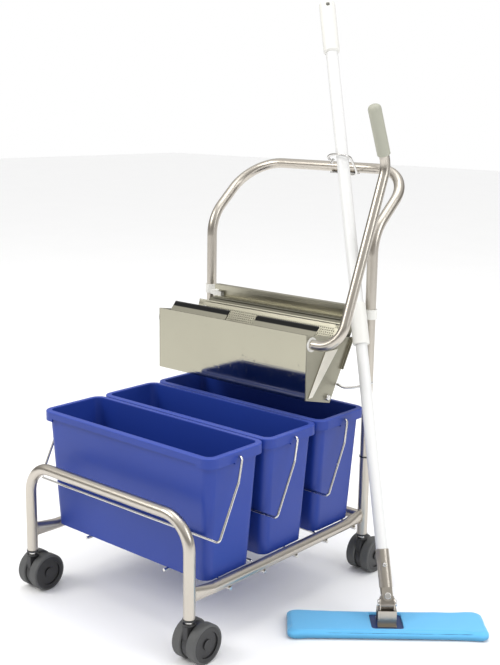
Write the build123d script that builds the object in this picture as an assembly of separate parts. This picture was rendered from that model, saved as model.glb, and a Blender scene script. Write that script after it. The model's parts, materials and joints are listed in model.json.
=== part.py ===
from build123d import *
import math
import os

os.makedirs("parts", exist_ok=True)

# Three-bucket mopping trolley with a lever press wringer and a flat mop. Millimetres, +Z up.
# The origin is on the floor, midway between the four caster swivel axes.
# +X is the trolley's right, and -Y is its front, where the first bucket is.

# Clearances
running_gap = 0.06
body_gap = 0.3
weld_sink = 0.3
cut_past = 1.0

# Tube frame
leg_gap_x = 444.0
leg_gap_y = 530.0
tube_d = 22.0
tube_wall = 1.5
front_bar_z = 270.5
front_bend_r = 60.0
handle_joint_z = 260.0
handle_kink_z = 728.0
handle_bar_z = 850.0
handle_back = 139.0
handle_bend_r = 90.0
spigot_reach = 60.0
spigot_flange_over = 1.0
spigot_flange_t = 3.0
rail_z = 125.0
rail_flat_length = 48.0
rail_flat_half_width = 6.0
rail_flat_half_height = 15.0
rail_flat_lift = 4.0

# Welded wire cradle under the buckets
rod_d = 6.0
rod_first_gap = 102.0
rod_last_gap = 37.2
rod_count = 5
rod_overhang = 8.0
rod_bend_r = 8.0
runner_gap_x = 220.0

# Casters with twin wheels
wheel_d = 75.0
wheel_width = 21.0
wheel_round = 3.5
wheel_dish_d = 50.0
wheel_dish_depth = 2.5
wheel_cap_d = 20.0
caster_trail = 20.0
caster_web = 13.0
wheel_side_gap = 0.6
hood_gap = 1.2
hood_wall = 2.8
hood_boss_d = 24.0
hood_boss_drop = 1.0
hood_tilt = 14.0
hood_cut_lift = 3.0
boss_floor = 4.0
stem_d = 10.0
stem_shoulder_d = 16.0
stem_foot_lift = 22.5
stem_reach = 31.0
leg_foot_lift = 9.0
socket_flange_t = 3.5
socket_flange_over = 1.0
socket_reach = 38.0
axle_d = 6.0
axle_short = 4.0
wheel_bore_short = 3.5

# Buckets
bucket_count = 3
bucket_floor_z = 132.0
bucket_top_z = 373.0
bucket_wall = 3.0
bucket_front_gap = 28.3
bucket_rear_gap = 5.3
bucket_between = 4.7
bucket_rail_gap = 1.0
rim_overhang = 8.0
rim_flange_t = 3.0
rim_end_drop = 20.0
rim_side_drop = 14.0
rim_corner_length = 34.0
rim_corner_r = 24.0
rim_edge_r = 2.4
floor_corner_r = 18.0
depth_taper = 8.5
pivot_drop = 10.5
pivot_block_width = 22.0
pivot_block_height = 23.0

# Wire carrying handles of the buckets
bail_d = 5.0
bail_reach = 156.0
bail_wall_gap = 2.42
bail_side_gap = 4.5
bail_flare = 9.0
bail_flare_reach = 45.0
bail_bend_r = 7.0
bail_pin_depth = 7.0

# Wringer: end plates, front plate, fixed and moving jaws
wringer_forward = 185.0
wringer_side_gap = 20.0
sheet_t = 2.0
plate_lift_z = 41.0
plate_height = 131.0
plate_rear_foot = (78.0, -20.0)
plate_rear_top = (148.0, 105.0)
hem_t = 4.0
hem_height = 8.0
hem_edge_r = 1.6
hem_shaft_gap = 1.0
rib_height = 1.5
rib_foot = (6.0, 19.0, 3.0)
rib_top = (58.0, 100.0, 89.0)
edge_flange_width = 6.0
edge_flange_length = 70.0
jaw_inset = 4.0
jaw_bead_d = 6.0
moving_bead_d = 5.0
pivot_back = 68.0
pivot_drop_z = 6.0
pivot_rod_d = 8.0
pivot_knob_d = 13.0
pivot_knob_t = 6.0
pivot_knob_r = 2.0
barrel_wall = 2.5
moving_jaw_length = 150.0
moving_jaw_lean = 20.6
moving_jaw_side_gap = 4.0

# Back rail of the wringer and its clips on the handle uprights
back_rail_side_gap = 32.0
back_rail_depth = 15.0
back_rail_lift = 138.0
back_rail_height = 28.0
back_rail_lip = 10.0
back_rail_web_gap = 9.0
clip_ring_wall = 3.0
clip_ring_lift = 3.0
clip_height = 20.0
clip_arm_height = 10.0
clip_arm_front = 10.5
clip_arm_reach = 16.0
clip_arm_past = 8.0
clip_bridge_front = 4.0

# Lever with its shaft, grip and pressing paddles
lever_tube_d = 20.0
lever_wall = 1.5
shaft_plate_gap = 2.0
shaft_drop = 20.0
bush_wall = 1.7
bush_flange = 2.8
bush_flange_t = 2.0
bush_past = 1.0
shaft_past = 1.0
lever_plane_out = 68.0
lever_bend_r = 48.0
lever_lean = 21.7
lever_lower_length = 369.0
lever_grip_lean = 23.5
lever_upper_length = 127.0
grip_wall = 3.0
grip_length = 103.0
grip_end_wall = 8.0
grip_dome = 0.36
grip_foot_r = 1.5
paddle_inner_x = 37.5
paddle_side_gap = 4.0
paddle_t = 2.0
paddle_drop = 101.5
paddle_rise = 8.0
paddle_flange = 29.0
paddle_flange_tilt = 43.0
paddle_screw_d = 5.0
paddle_screw_head_d = 10.0
paddle_screw_head_t = 3.0
screw_head_r = 1.5
paddle_screw_inset = 40.0

# Flat mop: where it stands and how it leans in the hook
mop_heading = 142.6
mop_lean = 25.88
mop_pass_gap = 2.65
mop_pass_height = 598.3
mop_joint_z = 67.0
pad_heading = 40.9

# Flat mop: head
pad_length = 395.0
pad_depth = 106.0
pad_height = 19.0
pad_corner_r = 16.0
pad_edge_r = 5.0
plate_end_margin = 14.5
plate_side_margin = 10.0
plate_t = 6.0
plate_corner_r = 8.0
plate_lift = 8.3
pad_mouth_length = 62.0
mouth_side_margin = 8.0
bracket_length = 36.0
bracket_depth = 26.0
bracket_pin_gap = 1.26
bracket_foot = 11.0
yoke_rise = 13.0
yoke_over_lugs = 2.0
ferrule_lug_t = 2.5
yoke_pin_d = 8.0
yoke_head_d = 13.0
yoke_head_t = 3.5
yoke_head_r = 1.5

# Flat mop: handle, measured along the handle from the upper yoke pin
ferrule_wall = 1.05
ferrule_floor = 24.0
ferrule_top = 88.0
fork_slot_top = 16.0
fork_overlap = 6.0
fork_slot_depth = 30.0
button_at = 58.0
button_d = 8.0
button_out = 2.5
button_dome_r = 2.0
button_flange_in = 3.2
button_flange = 1.2
button_flange_t = 1.6
lower_tube_d = 23.5
lower_tube_wall = 1.0
lower_tube_top = 800.0
upper_tube_wall = 1.19
upper_tube_foot = 505.0
upper_tube_top = 1185.0
collar_wall = 3.75
collar_foot = 493.0
collar_top = 579.0
collar_edge_r = 2.5
mop_grip_wall = 4.5
mop_grip_foot = 1139.0
mop_grip_top = 1262.0
mop_grip_dome = 0.3
mop_grip_chamfer = 3.0
hang_hole_d = 9.0
hang_hole_drop = 15.0

# Hook on the handle bar and rest on the wringer, both for the mop handle
hook_wire_d = 5.0
hook_strip_width = 20.0
hook_strip_t = 3.0
hook_strip_length = 66.0
rest_wire_d = 5.0
hook_rise = 20.0
hook_strip_gap = 20.0
hook_foot_run = (50.0, 8.0)
hook_turn = (13.0, -22.0, 8.0)
hook_round = [(17, 8, 0), (21, -10, 8), (14, -19, 11), (2, -21, 12), (-14, -17, 11),
              (-27, -10, 8), (-35, -3, 2), (-30, 0, -4), (-23, -1, 1)]
rest_rise = 20.98
rest_touch_gap = 0.8
rest_side = (-0.45, 0.82, -0.1)
rest_foot = (24.0, 5.0)
rest_elbow = [(12.0, 23.0, 8.0), (30.0, 15.0, 8.0)]
rest_end = (10.0, 9.0, 5.0)

# Sizes worked out from the driving ones
tube_r = tube_d / 2
leg_x = leg_gap_x / 2
front_y = -leg_gap_y / 2
rear_y = leg_gap_y / 2
handle_bar_y = rear_y + handle_back
wheel_r = wheel_d / 2
hood_r = wheel_r + hood_gap + hood_wall
hood_boss_z = wheel_r + hood_r - hood_boss_drop
stem_foot_z = wheel_r + stem_foot_lift
leg_foot_z = hood_boss_z + leg_foot_lift
stem_top_z = leg_foot_z + stem_reach
spigot_flange_d = tube_d + 2 * spigot_flange_over
socket_flange_d = tube_d + 2 * socket_flange_over
plate_foot_z = bucket_top_z + plate_lift_z
plate_top_z = plate_foot_z + plate_height
shaft_z = plate_top_z - shaft_drop
pivot_z = plate_foot_z - pivot_drop_z
back_rail_foot_z = plate_foot_z + back_rail_lift
back_rail_top_z = back_rail_foot_z + back_rail_height
clip_ring_foot_z = back_rail_foot_z + clip_ring_lift
wringer_y = rear_y - wringer_forward
wringer_half_x = leg_x - wringer_side_gap
back_rail_half_x = leg_x - back_rail_side_gap
paddle_outer_x = wringer_half_x - paddle_side_gap
shaft_y = wringer_y + sheet_t / 2 + shaft_plate_gap + lever_tube_d / 2
grip_d = lever_tube_d + 2 * grip_wall
rim_half_x = leg_x + tube_r
rim_front_y = front_y + tube_r + bucket_front_gap
rim_back_y = rear_y - tube_r - bucket_rear_gap
bucket_pitch = (rim_back_y - rim_front_y + bucket_between) / bucket_count
rim_depth = bucket_pitch - bucket_between
bucket_ys = [rim_front_y + rim_depth / 2 + i * bucket_pitch for i in range(bucket_count)]
bail_pivot_z = bucket_top_z - pivot_drop
bail_top_x = rim_half_x + bail_side_gap + bail_d / 2
wall_slope = depth_taper / (bucket_top_z - bucket_floor_z)
bail_bar_out = rim_depth / 2 - rim_overhang - wall_slope * pivot_drop + bail_wall_gap + bail_d / 2
bail_rest_angle = math.degrees(
    math.asin(bail_bar_out / bail_reach / math.hypot(1, wall_slope)) - math.atan(wall_slope))
plate_length = pad_length - 2 * plate_end_margin
plate_depth = pad_depth - 2 * plate_side_margin
pad_mouth_depth = plate_depth - 2 * mouth_side_margin
ferrule_d = lower_tube_d + 2 * ferrule_wall
yoke_depth = ferrule_d - 2 * ferrule_lug_t - 2 * body_gap
yoke_length = yoke_depth + 2 * yoke_over_lugs
sliding_bore_d = lower_tube_d + 2 * running_gap
upper_tube_d = sliding_bore_d + 2 * upper_tube_wall
collar_d = upper_tube_d + 2 * collar_wall
mop_grip_d = upper_tube_d + 2 * mop_grip_wall


def save(shape, name):
    export_step(shape, f"parts/{name}.step")


def rod(start, end, diameter):
    """Straight round bar between two points."""
    run = Vector(*end) - Vector(*start)
    return Plane(origin=start, z_dir=run) * Cylinder(
        diameter / 2, run.length, align=(Align.CENTER, Align.CENTER, Align.MIN))


def swept(path, diameter):
    """Round bar that follows a path."""
    return sweep(Plane(origin=path @ 0, z_dir=path % 0) * Circle(diameter / 2), path=path)


def swept_tube(path, diameter, wall):
    return swept(path, diameter) - swept(path, diameter - 2 * wall)


def plate_yz(points, x_start, thickness):
    """Flat plate outlined by (y, z) points, from x_start towards +X."""
    outline = Polyline(*[(x_start, y, z) for y, z in points], close=True)
    return extrude(make_face(outline), amount=thickness, dir=(1, 0, 0))


# ---------------------------------------------------------------- tube frame

def front_loop():
    path = FilletPolyline(
        (-leg_x, front_y, leg_foot_z), (-leg_x, front_y, front_bar_z),
        (leg_x, front_y, front_bar_z), (leg_x, front_y, leg_foot_z), radius=front_bend_r)
    return swept_tube(path, tube_d, tube_wall)


def rear_leg(side):
    x = side * leg_x
    top_z = handle_joint_z - spigot_flange_t / 2
    foot = (x, rear_y, leg_foot_z)
    top = (x, rear_y, top_z)
    return rod(foot, top, tube_d) - rod(foot, top, tube_d - 2 * tube_wall)


def push_handle():
    foot_z = handle_joint_z + spigot_flange_t / 2
    path = FilletPolyline(
        (-leg_x, rear_y, foot_z), (-leg_x, rear_y, handle_kink_z),
        (-leg_x, handle_bar_y, handle_bar_z), (leg_x, handle_bar_y, handle_bar_z),
        (leg_x, rear_y, handle_kink_z), (leg_x, rear_y, foot_z), radius=handle_bend_r)
    return swept_tube(path, tube_d, tube_wall)


def handle_spigot(side):
    """Plug that joins a leg to the handle, with a ring that shows between them."""
    x = side * leg_x
    plug = rod((x, rear_y, handle_joint_z - spigot_reach), (x, rear_y, handle_joint_z + spigot_reach),
               tube_d - 2 * tube_wall)
    half = spigot_flange_t / 2
    return plug + rod((x, rear_y, handle_joint_z - half), (x, rear_y, handle_joint_z + half), spigot_flange_d)


def leg_posts():
    """Solid posts where the four legs stand, for coping what is welded to them."""
    posts = [rod((sx * leg_x, y, leg_foot_z), (sx * leg_x, y, front_bar_z), tube_d)
             for sx in (-1, 1) for y in (front_y, rear_y)]
    return posts[0] + posts[1] + posts[2] + posts[3]


def rear_cross_tube():
    reach = leg_x - rail_flat_half_width - body_gap
    start = (-reach, rear_y, rail_z)
    end = (reach, rear_y, rail_z)
    return rod(start, end, tube_d) - rod(start, end, tube_d - 2 * tube_wall) - leg_posts()


def rail_shape(side, inset):
    """Side rail with its two ends pressed flat and tall where they meet the legs."""
    x = side * leg_x
    round_end = leg_gap_y / 2 - tube_r - rail_flat_length
    shape = rod((x, -round_end, rail_z), (x, round_end, rail_z), tube_d - 2 * inset)
    for end in (-1, 1):
        round_at = Plane(origin=(x, end * round_end, rail_z), x_dir=(1, 0, 0), z_dir=(0, end, 0))
        flat_at = Plane(origin=(x, end * (leg_gap_y / 2 - tube_r / 2), rail_z + rail_flat_lift),
                        x_dir=(1, 0, 0), z_dir=(0, end, 0))
        shape += loft([round_at * Circle(tube_r - inset),
                       flat_at * Ellipse(rail_flat_half_width - inset, rail_flat_half_height - inset)])
    return shape


def side_rail(side):
    return rail_shape(side, 0) - rail_shape(side, tube_wall) - leg_posts()


def bucket_cradle():
    """Five cranked cross rods and two runners on top of them, welded into one grid."""
    low_z = rail_z - tube_r - rod_d / 2
    runner_z = bucket_floor_z - body_gap - rod_d / 2
    high_z = runner_z - rod_d + weld_sink
    ramp_x = leg_x - tube_r - rod_d
    ramp = high_z - low_z
    pitch = (leg_gap_y - rod_first_gap - rod_last_gap) / (rod_count - 1)
    grid = None
    for i in range(rod_count):
        y = front_y + rod_first_gap + i * pitch
        path = FilletPolyline(
            (-leg_x - rod_overhang, y, low_z), (-ramp_x, y, low_z), (-ramp_x + ramp, y, high_z),
            (ramp_x - ramp, y, high_z), (ramp_x, y, low_z), (leg_x + rod_overhang, y, low_z),
            radius=rod_bend_r)
        grid = swept(path, rod_d) if grid is None else grid + swept(path, rod_d)
    for side in (-1, 1):
        x = side * runner_gap_x / 2
        front_end = (x, rim_front_y + rim_overhang, runner_z)
        grid += rod(front_end, (x, rim_back_y - rim_overhang, runner_z), rod_d)
    return grid


# ---------------------------------------------------------------- casters

def stem_socket(x, y):
    """Plug in the foot of a leg, bored for the caster stem."""
    foot_z = leg_foot_z - socket_flange_t
    plug = rod((x, y, leg_foot_z), (x, y, leg_foot_z + socket_reach), tube_d - 2 * tube_wall)
    plug += rod((x, y, foot_z), (x, y, leg_foot_z), socket_flange_d)
    return plug - rod((x, y, foot_z), (x, y, stem_top_z + cut_past), stem_d + 2 * running_gap)


def caster_hood(x, y):
    """Hood over both wheels, with the web between them and the boss for the stem."""
    axle_y = y + caster_trail
    half = caster_web / 2 + wheel_side_gap + wheel_width + wheel_side_gap
    hood = rod((x - half, axle_y, wheel_r), (x + half, axle_y, wheel_r), 2 * hood_r)
    keep = Pos(x, axle_y, wheel_r) * Rot(-hood_tilt, 0, 0) * Pos(0, 0, hood_r / 2 + hood_cut_lift) * Box(
        2 * half, 3 * hood_r, hood_r)
    hood = hood & keep
    hood += rod((x - caster_web / 2, axle_y, wheel_r), (x + caster_web / 2, axle_y, wheel_r), wheel_r)
    hood += rod((x, y, stem_foot_z - boss_floor), (x, y, hood_boss_z), hood_boss_d)
    for side in (-1, 1):
        web_x = x + side * caster_web / 2
        past_x = x + side * (half + cut_past)
        hood -= rod((web_x, axle_y, wheel_r), (past_x, axle_y, wheel_r), wheel_d + 2 * hood_gap)
    hood -= rod((x, y, stem_foot_z), (x, y, hood_boss_z + cut_past), stem_d)
    return hood - rod((x - half, axle_y, wheel_r), (x + half, axle_y, wheel_r), axle_d)


def caster_stem(x, y):
    shoulder_top = leg_foot_z - socket_flange_t - body_gap
    return rod((x, y, stem_foot_z), (x, y, stem_top_z), stem_d) + rod(
        (x, y, hood_boss_z), (x, y, shoulder_top), stem_shoulder_d)


def caster_axle(x, y):
    half = caster_web / 2 + wheel_side_gap + wheel_width - axle_short
    axle_y = y + caster_trail
    return rod((x - half, axle_y, wheel_r), (x + half, axle_y, wheel_r), axle_d)


def caster_wheel(x, y, side):
    """Wheel with a rounded tread, a dished outer face and a small cap over the axle end."""
    at = Plane(origin=(x + side * (caster_web / 2 + wheel_side_gap), y + caster_trail, wheel_r),
               z_dir=(side, 0, 0))
    wheel = Cylinder(wheel_r, wheel_width, align=(Align.CENTER, Align.CENTER, Align.MIN))
    wheel = fillet(wheel.edges().filter_by(GeomType.CIRCLE), wheel_round)
    dish = Cylinder(wheel_dish_d / 2, wheel_dish_depth) - Cylinder(wheel_cap_d / 2, wheel_dish_depth)
    wheel -= Pos(0, 0, wheel_width - wheel_dish_depth / 2) * dish
    bore = Cylinder(axle_d / 2 + running_gap, wheel_width - wheel_bore_short,
                    align=(Align.CENTER, Align.CENTER, Align.MIN))
    return at * (wheel - bore)


# ---------------------------------------------------------------- buckets and bails

def bucket_block(grow, foot_z, top_z):
    """Tapered block with rounded corners: the outside of a bucket grown or shrunk all round."""
    floor_half_x = leg_x - tube_r - bucket_rail_gap
    top_half_x = rim_half_x - rim_overhang
    top_depth = rim_depth - 2 * rim_overhang
    floor_depth = top_depth - 2 * depth_taper
    full = bucket_top_z - bucket_floor_z
    sections = []
    for z in (foot_z, top_z):
        share = (z - bucket_floor_z) / full
        half_x = floor_half_x + share * (top_half_x - floor_half_x) + grow
        depth = floor_depth + share * (top_depth - floor_depth) + 2 * grow
        corner = floor_corner_r + grow
        sections.append(Pos(0, 0, z) * RectangleRounded(2 * half_x, depth, corner))
    return loft(sections)


def bucket(y):
    skirt_foot = bucket_top_z - rim_end_drop
    shell = bucket_block(0, bucket_floor_z, bucket_top_z)
    outer = Pos(0, 0, skirt_foot) * extrude(
        RectangleRounded(2 * rim_half_x, rim_depth, rim_corner_r), amount=rim_end_drop)
    outer = fillet(outer.edges().group_by(Axis.Z)[-1], rim_edge_r)
    hollow = Pos(0, 0, skirt_foot - cut_past) * extrude(
        RectangleRounded(2 * rim_half_x - 2 * rim_flange_t, rim_depth - 2 * rim_flange_t,
                         rim_corner_r - rim_flange_t), amount=rim_end_drop + cut_past - rim_flange_t)
    rim = outer - hollow
    trim = rim_end_drop - rim_side_drop
    for side in (-1, 1):
        rim -= Pos(0, side * rim_depth / 2, skirt_foot + trim / 2) * Box(
            2 * (rim_half_x - rim_corner_length), 4 * rim_flange_t, trim)
    shell += rim
    block_inner = rim_half_x - rim_overhang - bucket_wall
    block_length = rim_half_x - block_inner
    for side in (-1, 1):
        shell += Pos(side * (block_inner + block_length / 2), 0,
                     bucket_top_z - pivot_block_height / 2 - rim_flange_t / 2) * Box(
            block_length, pivot_block_width, pivot_block_height - rim_flange_t)
    shell -= bucket_block(-bucket_wall, bucket_floor_z + bucket_wall, bucket_top_z + cut_past)
    for side in (-1, 1):
        shell -= rod((side * (rim_half_x - bail_pin_depth - cut_past), 0, bail_pivot_z),
                     (side * (rim_half_x + cut_past), 0, bail_pivot_z), bail_d + 2 * running_gap)
    return Pos(0, y, 0) * shell


def bail(y):
    """Wire handle hanging in front of its bucket, its two ends turned in to the pivots."""
    lean = math.radians(bail_rest_angle)
    wide_x = bail_top_x + bail_flare
    half_path = [(rim_half_x - bail_pin_depth, 0), (bail_top_x, 0),
                 (wide_x, bail_flare_reach), (wide_x, bail_reach)]
    right = [(x, y - down * math.sin(lean), bail_pivot_z - down * math.cos(lean)) for x, down in half_path]
    left = [(-px, py, pz) for px, py, pz in reversed(right)]
    return swept(FilletPolyline(*right, *left, radius=bail_bend_r), bail_d)


# ---------------------------------------------------------------- wringer

rear_foot = Vector(0, wringer_y + plate_rear_foot[0], plate_foot_z + plate_rear_foot[1])
rear_top = Vector(0, wringer_y + plate_rear_top[0], plate_foot_z + plate_rear_top[1])
rear_run = (rear_top - rear_foot).normalized()
rear_inward = Vector(0, -rear_run.Z, rear_run.Y)
jaw_pivot = Vector(0, wringer_y + pivot_back, pivot_z)


def rear_plane(along, inward):
    """Plane on the sloping rear edge of the wringer: its z runs up the edge, its y runs inward."""
    return Plane(origin=rear_foot + rear_run * along + rear_inward * inward,
                 x_dir=(1, 0, 0), z_dir=(rear_run.X, rear_run.Y, rear_run.Z))


def bush_bore_d():
    return lever_tube_d + 2 * running_gap + 2 * bush_wall


def end_plate(side):
    """End plate with its raised rib, its rear edge flange and holes for the shaft and jaw rod."""
    inner_x = side * wringer_half_x
    start_x = inner_x if side > 0 else inner_x - sheet_t
    plate = plate_yz(
        [(wringer_y - sheet_t / 2, plate_top_z), (wringer_y - sheet_t / 2, plate_foot_z),
         (rear_foot.Y, rear_foot.Z), (rear_top.Y, rear_top.Z)], start_x, sheet_t)
    rib_start = inner_x + sheet_t if side > 0 else inner_x - sheet_t - rib_height
    rib_foot_z = plate_foot_z + rib_foot[2]
    rib_top_z = plate_foot_z + rib_top[2]
    plate += plate_yz(
        [(wringer_y + rib_foot[0], rib_foot_z), (wringer_y + rib_foot[1], rib_foot_z),
         (wringer_y + rib_top[1], rib_top_z), (wringer_y + rib_top[0], rib_top_z)], rib_start, rib_height)
    edge_length = (rear_top - rear_foot).length
    flange_at = rear_plane(edge_length - edge_flange_length / 2, sheet_t / 2)
    plate += flange_at * Pos(side * (wringer_half_x + (edge_flange_width + sheet_t) / 2), 0, 0) * Box(
        edge_flange_width + sheet_t, sheet_t, edge_flange_length)
    far = side * (wringer_half_x + 3 * sheet_t)
    near = side * (wringer_half_x - sheet_t)
    plate -= rod((near, shaft_y, shaft_z), (far, shaft_y, shaft_z), bush_bore_d())
    return plate - rod((near, jaw_pivot.Y, jaw_pivot.Z), (far, jaw_pivot.Y, jaw_pivot.Z), pivot_rod_d)


def front_plate():
    height = plate_top_z - plate_foot_z
    width = 2 * wringer_half_x
    plate = Pos(0, wringer_y, plate_foot_z + height / 2) * Box(width, sheet_t, height)
    hem_y = wringer_y - sheet_t / 2 + hem_t / 2
    hem = Pos(0, hem_y, plate_top_z - hem_height / 2) * Box(width, hem_t, hem_height)
    hem = fillet(hem.edges().filter_by(Axis.X).group_by(Axis.Z)[-1], hem_edge_r)
    shaft_room = lever_tube_d + 2 * hem_shaft_gap
    return plate + (hem - rod((-width / 2, shaft_y, shaft_z), (width / 2, shaft_y, shaft_z), shaft_room))


def fixed_jaw():
    """Sloping rear jaw with a bead along its top edge and a tongue that hooks on the back rail."""
    inward = jaw_inset + sheet_t / 2
    bead_z = back_rail_foot_z - jaw_bead_d / 2
    length = (bead_z - rear_foot.Z - inward * rear_inward.Z) / rear_run.Z
    sheet = rear_plane(length / 2, inward) * Box(2 * wringer_half_x, sheet_t, length)
    bead_at = rear_foot + rear_run * length + rear_inward * inward
    half = back_rail_half_x
    sheet += rod((-half, bead_at.Y, bead_at.Z), (half, bead_at.Y, bead_at.Z), jaw_bead_d)
    tongue_back = rear_y - back_rail_web_gap
    tongue_depth = tongue_back - bead_at.Y
    tongue_z = back_rail_foot_z - sheet_t / 2
    sheet += Pos(0, bead_at.Y + tongue_depth / 2, tongue_z) * Box(2 * half, tongue_depth, sheet_t)
    return sheet


def back_rail():
    """Channel open to the front, with a turned-down lip along its top."""
    back_y = rear_y - back_rail_web_gap
    front = back_y - back_rail_depth
    width = 2 * back_rail_half_x
    mid_y = (front + back_y) / 2
    height = back_rail_top_z - back_rail_foot_z
    mid_z = back_rail_foot_z + height / 2
    rail = Pos(0, back_y - sheet_t / 2, mid_z) * Box(width, sheet_t, height)
    rail += Pos(0, mid_y, back_rail_foot_z + sheet_t / 2) * Box(width, back_rail_depth, sheet_t)
    rail += Pos(0, mid_y, back_rail_top_z - sheet_t / 2) * Box(width, back_rail_depth, sheet_t)
    lip_z = back_rail_top_z - back_rail_lip / 2
    return rail + Pos(0, front + sheet_t / 2, lip_z) * Box(width, sheet_t, back_rail_lip)


def rail_clip(side):
    """Moulded clip: a ring round the handle upright and an arm that fills the end of the back rail."""
    x = side * leg_x
    web_y = rear_y - back_rail_web_gap - sheet_t
    arm_foot_z = back_rail_foot_z + sheet_t
    arm_mid_z = arm_foot_z + clip_arm_height / 2
    arm_length = clip_arm_reach + clip_arm_past
    arm = Pos(side * (back_rail_half_x - clip_arm_reach + arm_length / 2), web_y - clip_arm_front / 2,
              arm_mid_z) * Box(arm_length, clip_arm_front, clip_arm_height)
    bridge_start = back_rail_half_x + body_gap
    bridge_length = leg_x - tube_r + cut_past - bridge_start
    bridge_depth = rear_y - web_y + clip_bridge_front + clip_ring_wall
    arm += Pos(side * (bridge_start + bridge_length / 2), web_y - clip_bridge_front + bridge_depth / 2,
               arm_mid_z) * Box(bridge_length, bridge_depth, clip_arm_height)
    top_z = clip_ring_foot_z + clip_height
    ring = rod((x, rear_y, clip_ring_foot_z), (x, rear_y, top_z), tube_d + 2 * clip_ring_wall)
    return (ring + arm) - rod((x, rear_y, arm_foot_z - cut_past), (x, rear_y, top_z + cut_past), tube_d)


def jaw_pivot_rod():
    end_x = wringer_half_x + sheet_t
    shape = rod((-end_x, jaw_pivot.Y, jaw_pivot.Z), (end_x, jaw_pivot.Y, jaw_pivot.Z), pivot_rod_d)
    for side in (-1, 1):
        knob = rod((side * end_x, jaw_pivot.Y, jaw_pivot.Z),
                   (side * (end_x + pivot_knob_t), jaw_pivot.Y, jaw_pivot.Z), pivot_knob_d)
        outer_edge = knob.edges().filter_by(GeomType.CIRCLE).sort_by(Axis.X)[-1 if side > 0 else 0]
        shape += fillet(outer_edge, pivot_knob_r)
    return shape


def moving_jaw():
    """Leaning plate hinged on the jaw rod, with a barrel at its foot and a bead along its top."""
    lean = math.radians(moving_jaw_lean)
    up = Vector(0, math.sin(lean), math.cos(lean))
    half = wringer_half_x - moving_jaw_side_gap
    at = Plane(origin=jaw_pivot, x_dir=(1, 0, 0), z_dir=(up.X, up.Y, up.Z))
    sheet = at * Pos(0, 0, moving_jaw_length / 2) * Box(2 * half, sheet_t, moving_jaw_length)
    barrel_d = pivot_rod_d + 2 * running_gap + 2 * barrel_wall
    left = (-half, jaw_pivot.Y, jaw_pivot.Z)
    right = (half, jaw_pivot.Y, jaw_pivot.Z)
    top = jaw_pivot + up * moving_jaw_length
    sheet += rod(left, right, barrel_d)
    sheet += rod((-half, top.Y, top.Z), (half, top.Y, top.Z), moving_bead_d)
    return sheet - rod(left, right, pivot_rod_d + 2 * running_gap)


def shaft_bush(side):
    inner_x = side * (wringer_half_x - bush_past)
    outer_x = side * (wringer_half_x + sheet_t + bush_flange_t)
    face_x = side * (wringer_half_x + sheet_t)
    bush = rod((inner_x, shaft_y, shaft_z), (outer_x, shaft_y, shaft_z), bush_bore_d())
    bush += rod((face_x, shaft_y, shaft_z), (outer_x, shaft_y, shaft_z), bush_bore_d() + 2 * bush_flange)
    bore_d = lever_tube_d + 2 * running_gap
    return bush - rod((inner_x, shaft_y, shaft_z), (outer_x, shaft_y, shaft_z), bore_d)


# ---------------------------------------------------------------- lever

lean_rad = math.radians(lever_lean)
grip_rad = math.radians(lever_grip_lean)
lever_x = wringer_half_x + lever_plane_out
lever_corner = Vector(lever_x, shaft_y + lever_lower_length * math.sin(lean_rad),
                      shaft_z + lever_lower_length * math.cos(lean_rad))
grip_run = Vector(0, -math.sin(grip_rad), math.cos(grip_rad))
lever_tip = lever_corner + grip_run * lever_upper_length


def screw_places():
    return [side * x for side in (-1, 1)
            for x in (paddle_inner_x + paddle_screw_inset, paddle_outer_x - paddle_screw_inset)]


def lever_tube():
    start_x = -(wringer_half_x + sheet_t + bush_flange_t + shaft_past)
    end = lever_tip - grip_run * grip_end_wall
    path = FilletPolyline(
        (start_x, shaft_y, shaft_z), (lever_x, shaft_y, shaft_z),
        (lever_corner.X, lever_corner.Y, lever_corner.Z), (end.X, end.Y, end.Z), radius=lever_bend_r)
    tube = swept_tube(path, lever_tube_d, lever_wall)
    for x in screw_places():
        inside = (x, shaft_y + paddle_screw_d, shaft_z)
        tube -= rod(inside, (x, shaft_y + lever_tube_d, shaft_z), paddle_screw_d)
    return tube


def lever_grip():
    foot = lever_tip - grip_run * grip_length
    at = Plane(origin=foot, x_dir=(1, 0, 0), z_dir=(grip_run.X, grip_run.Y, grip_run.Z))
    low = (Align.CENTER, Align.CENTER, Align.MIN)
    grip = Cylinder(grip_d / 2, grip_length, align=low)
    grip = fillet(grip.edges().group_by(Axis.Z)[-1], grip_d * grip_dome)
    grip = fillet(grip.edges().group_by(Axis.Z)[0], grip_foot_r)
    grip -= Cylinder(lever_tube_d / 2, grip_length - grip_end_wall, align=low)
    return at * grip


def paddle(side):
    """Pressing plate behind the shaft, with a sloping flange along its top."""
    length = paddle_outer_x - paddle_inner_x
    mid_x = side * (paddle_inner_x + paddle_outer_x) / 2
    face = lever_tube_d / 2
    height = paddle_drop + paddle_rise
    plate = Pos(mid_x, shaft_y + face + paddle_t / 2, shaft_z + paddle_rise - height / 2) * Box(
        length, paddle_t, height)
    flange = Pos(0, 0, paddle_flange / 2) * Box(length, paddle_t, paddle_flange)
    flange = Pos(mid_x, shaft_y + face + paddle_t / 2, shaft_z + paddle_rise) * Rot(
        -paddle_flange_tilt, 0, 0) * flange
    corner = rod((mid_x - length / 2, shaft_y + face + paddle_t / 2, shaft_z + paddle_rise),
                 (mid_x + length / 2, shaft_y + face + paddle_t / 2, shaft_z + paddle_rise), paddle_t)
    shape = plate + flange + corner
    for x in screw_places():
        shape -= rod((x, shaft_y, shaft_z), (x, shaft_y + 2 * face, shaft_z), paddle_screw_d)
    return shape


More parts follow.
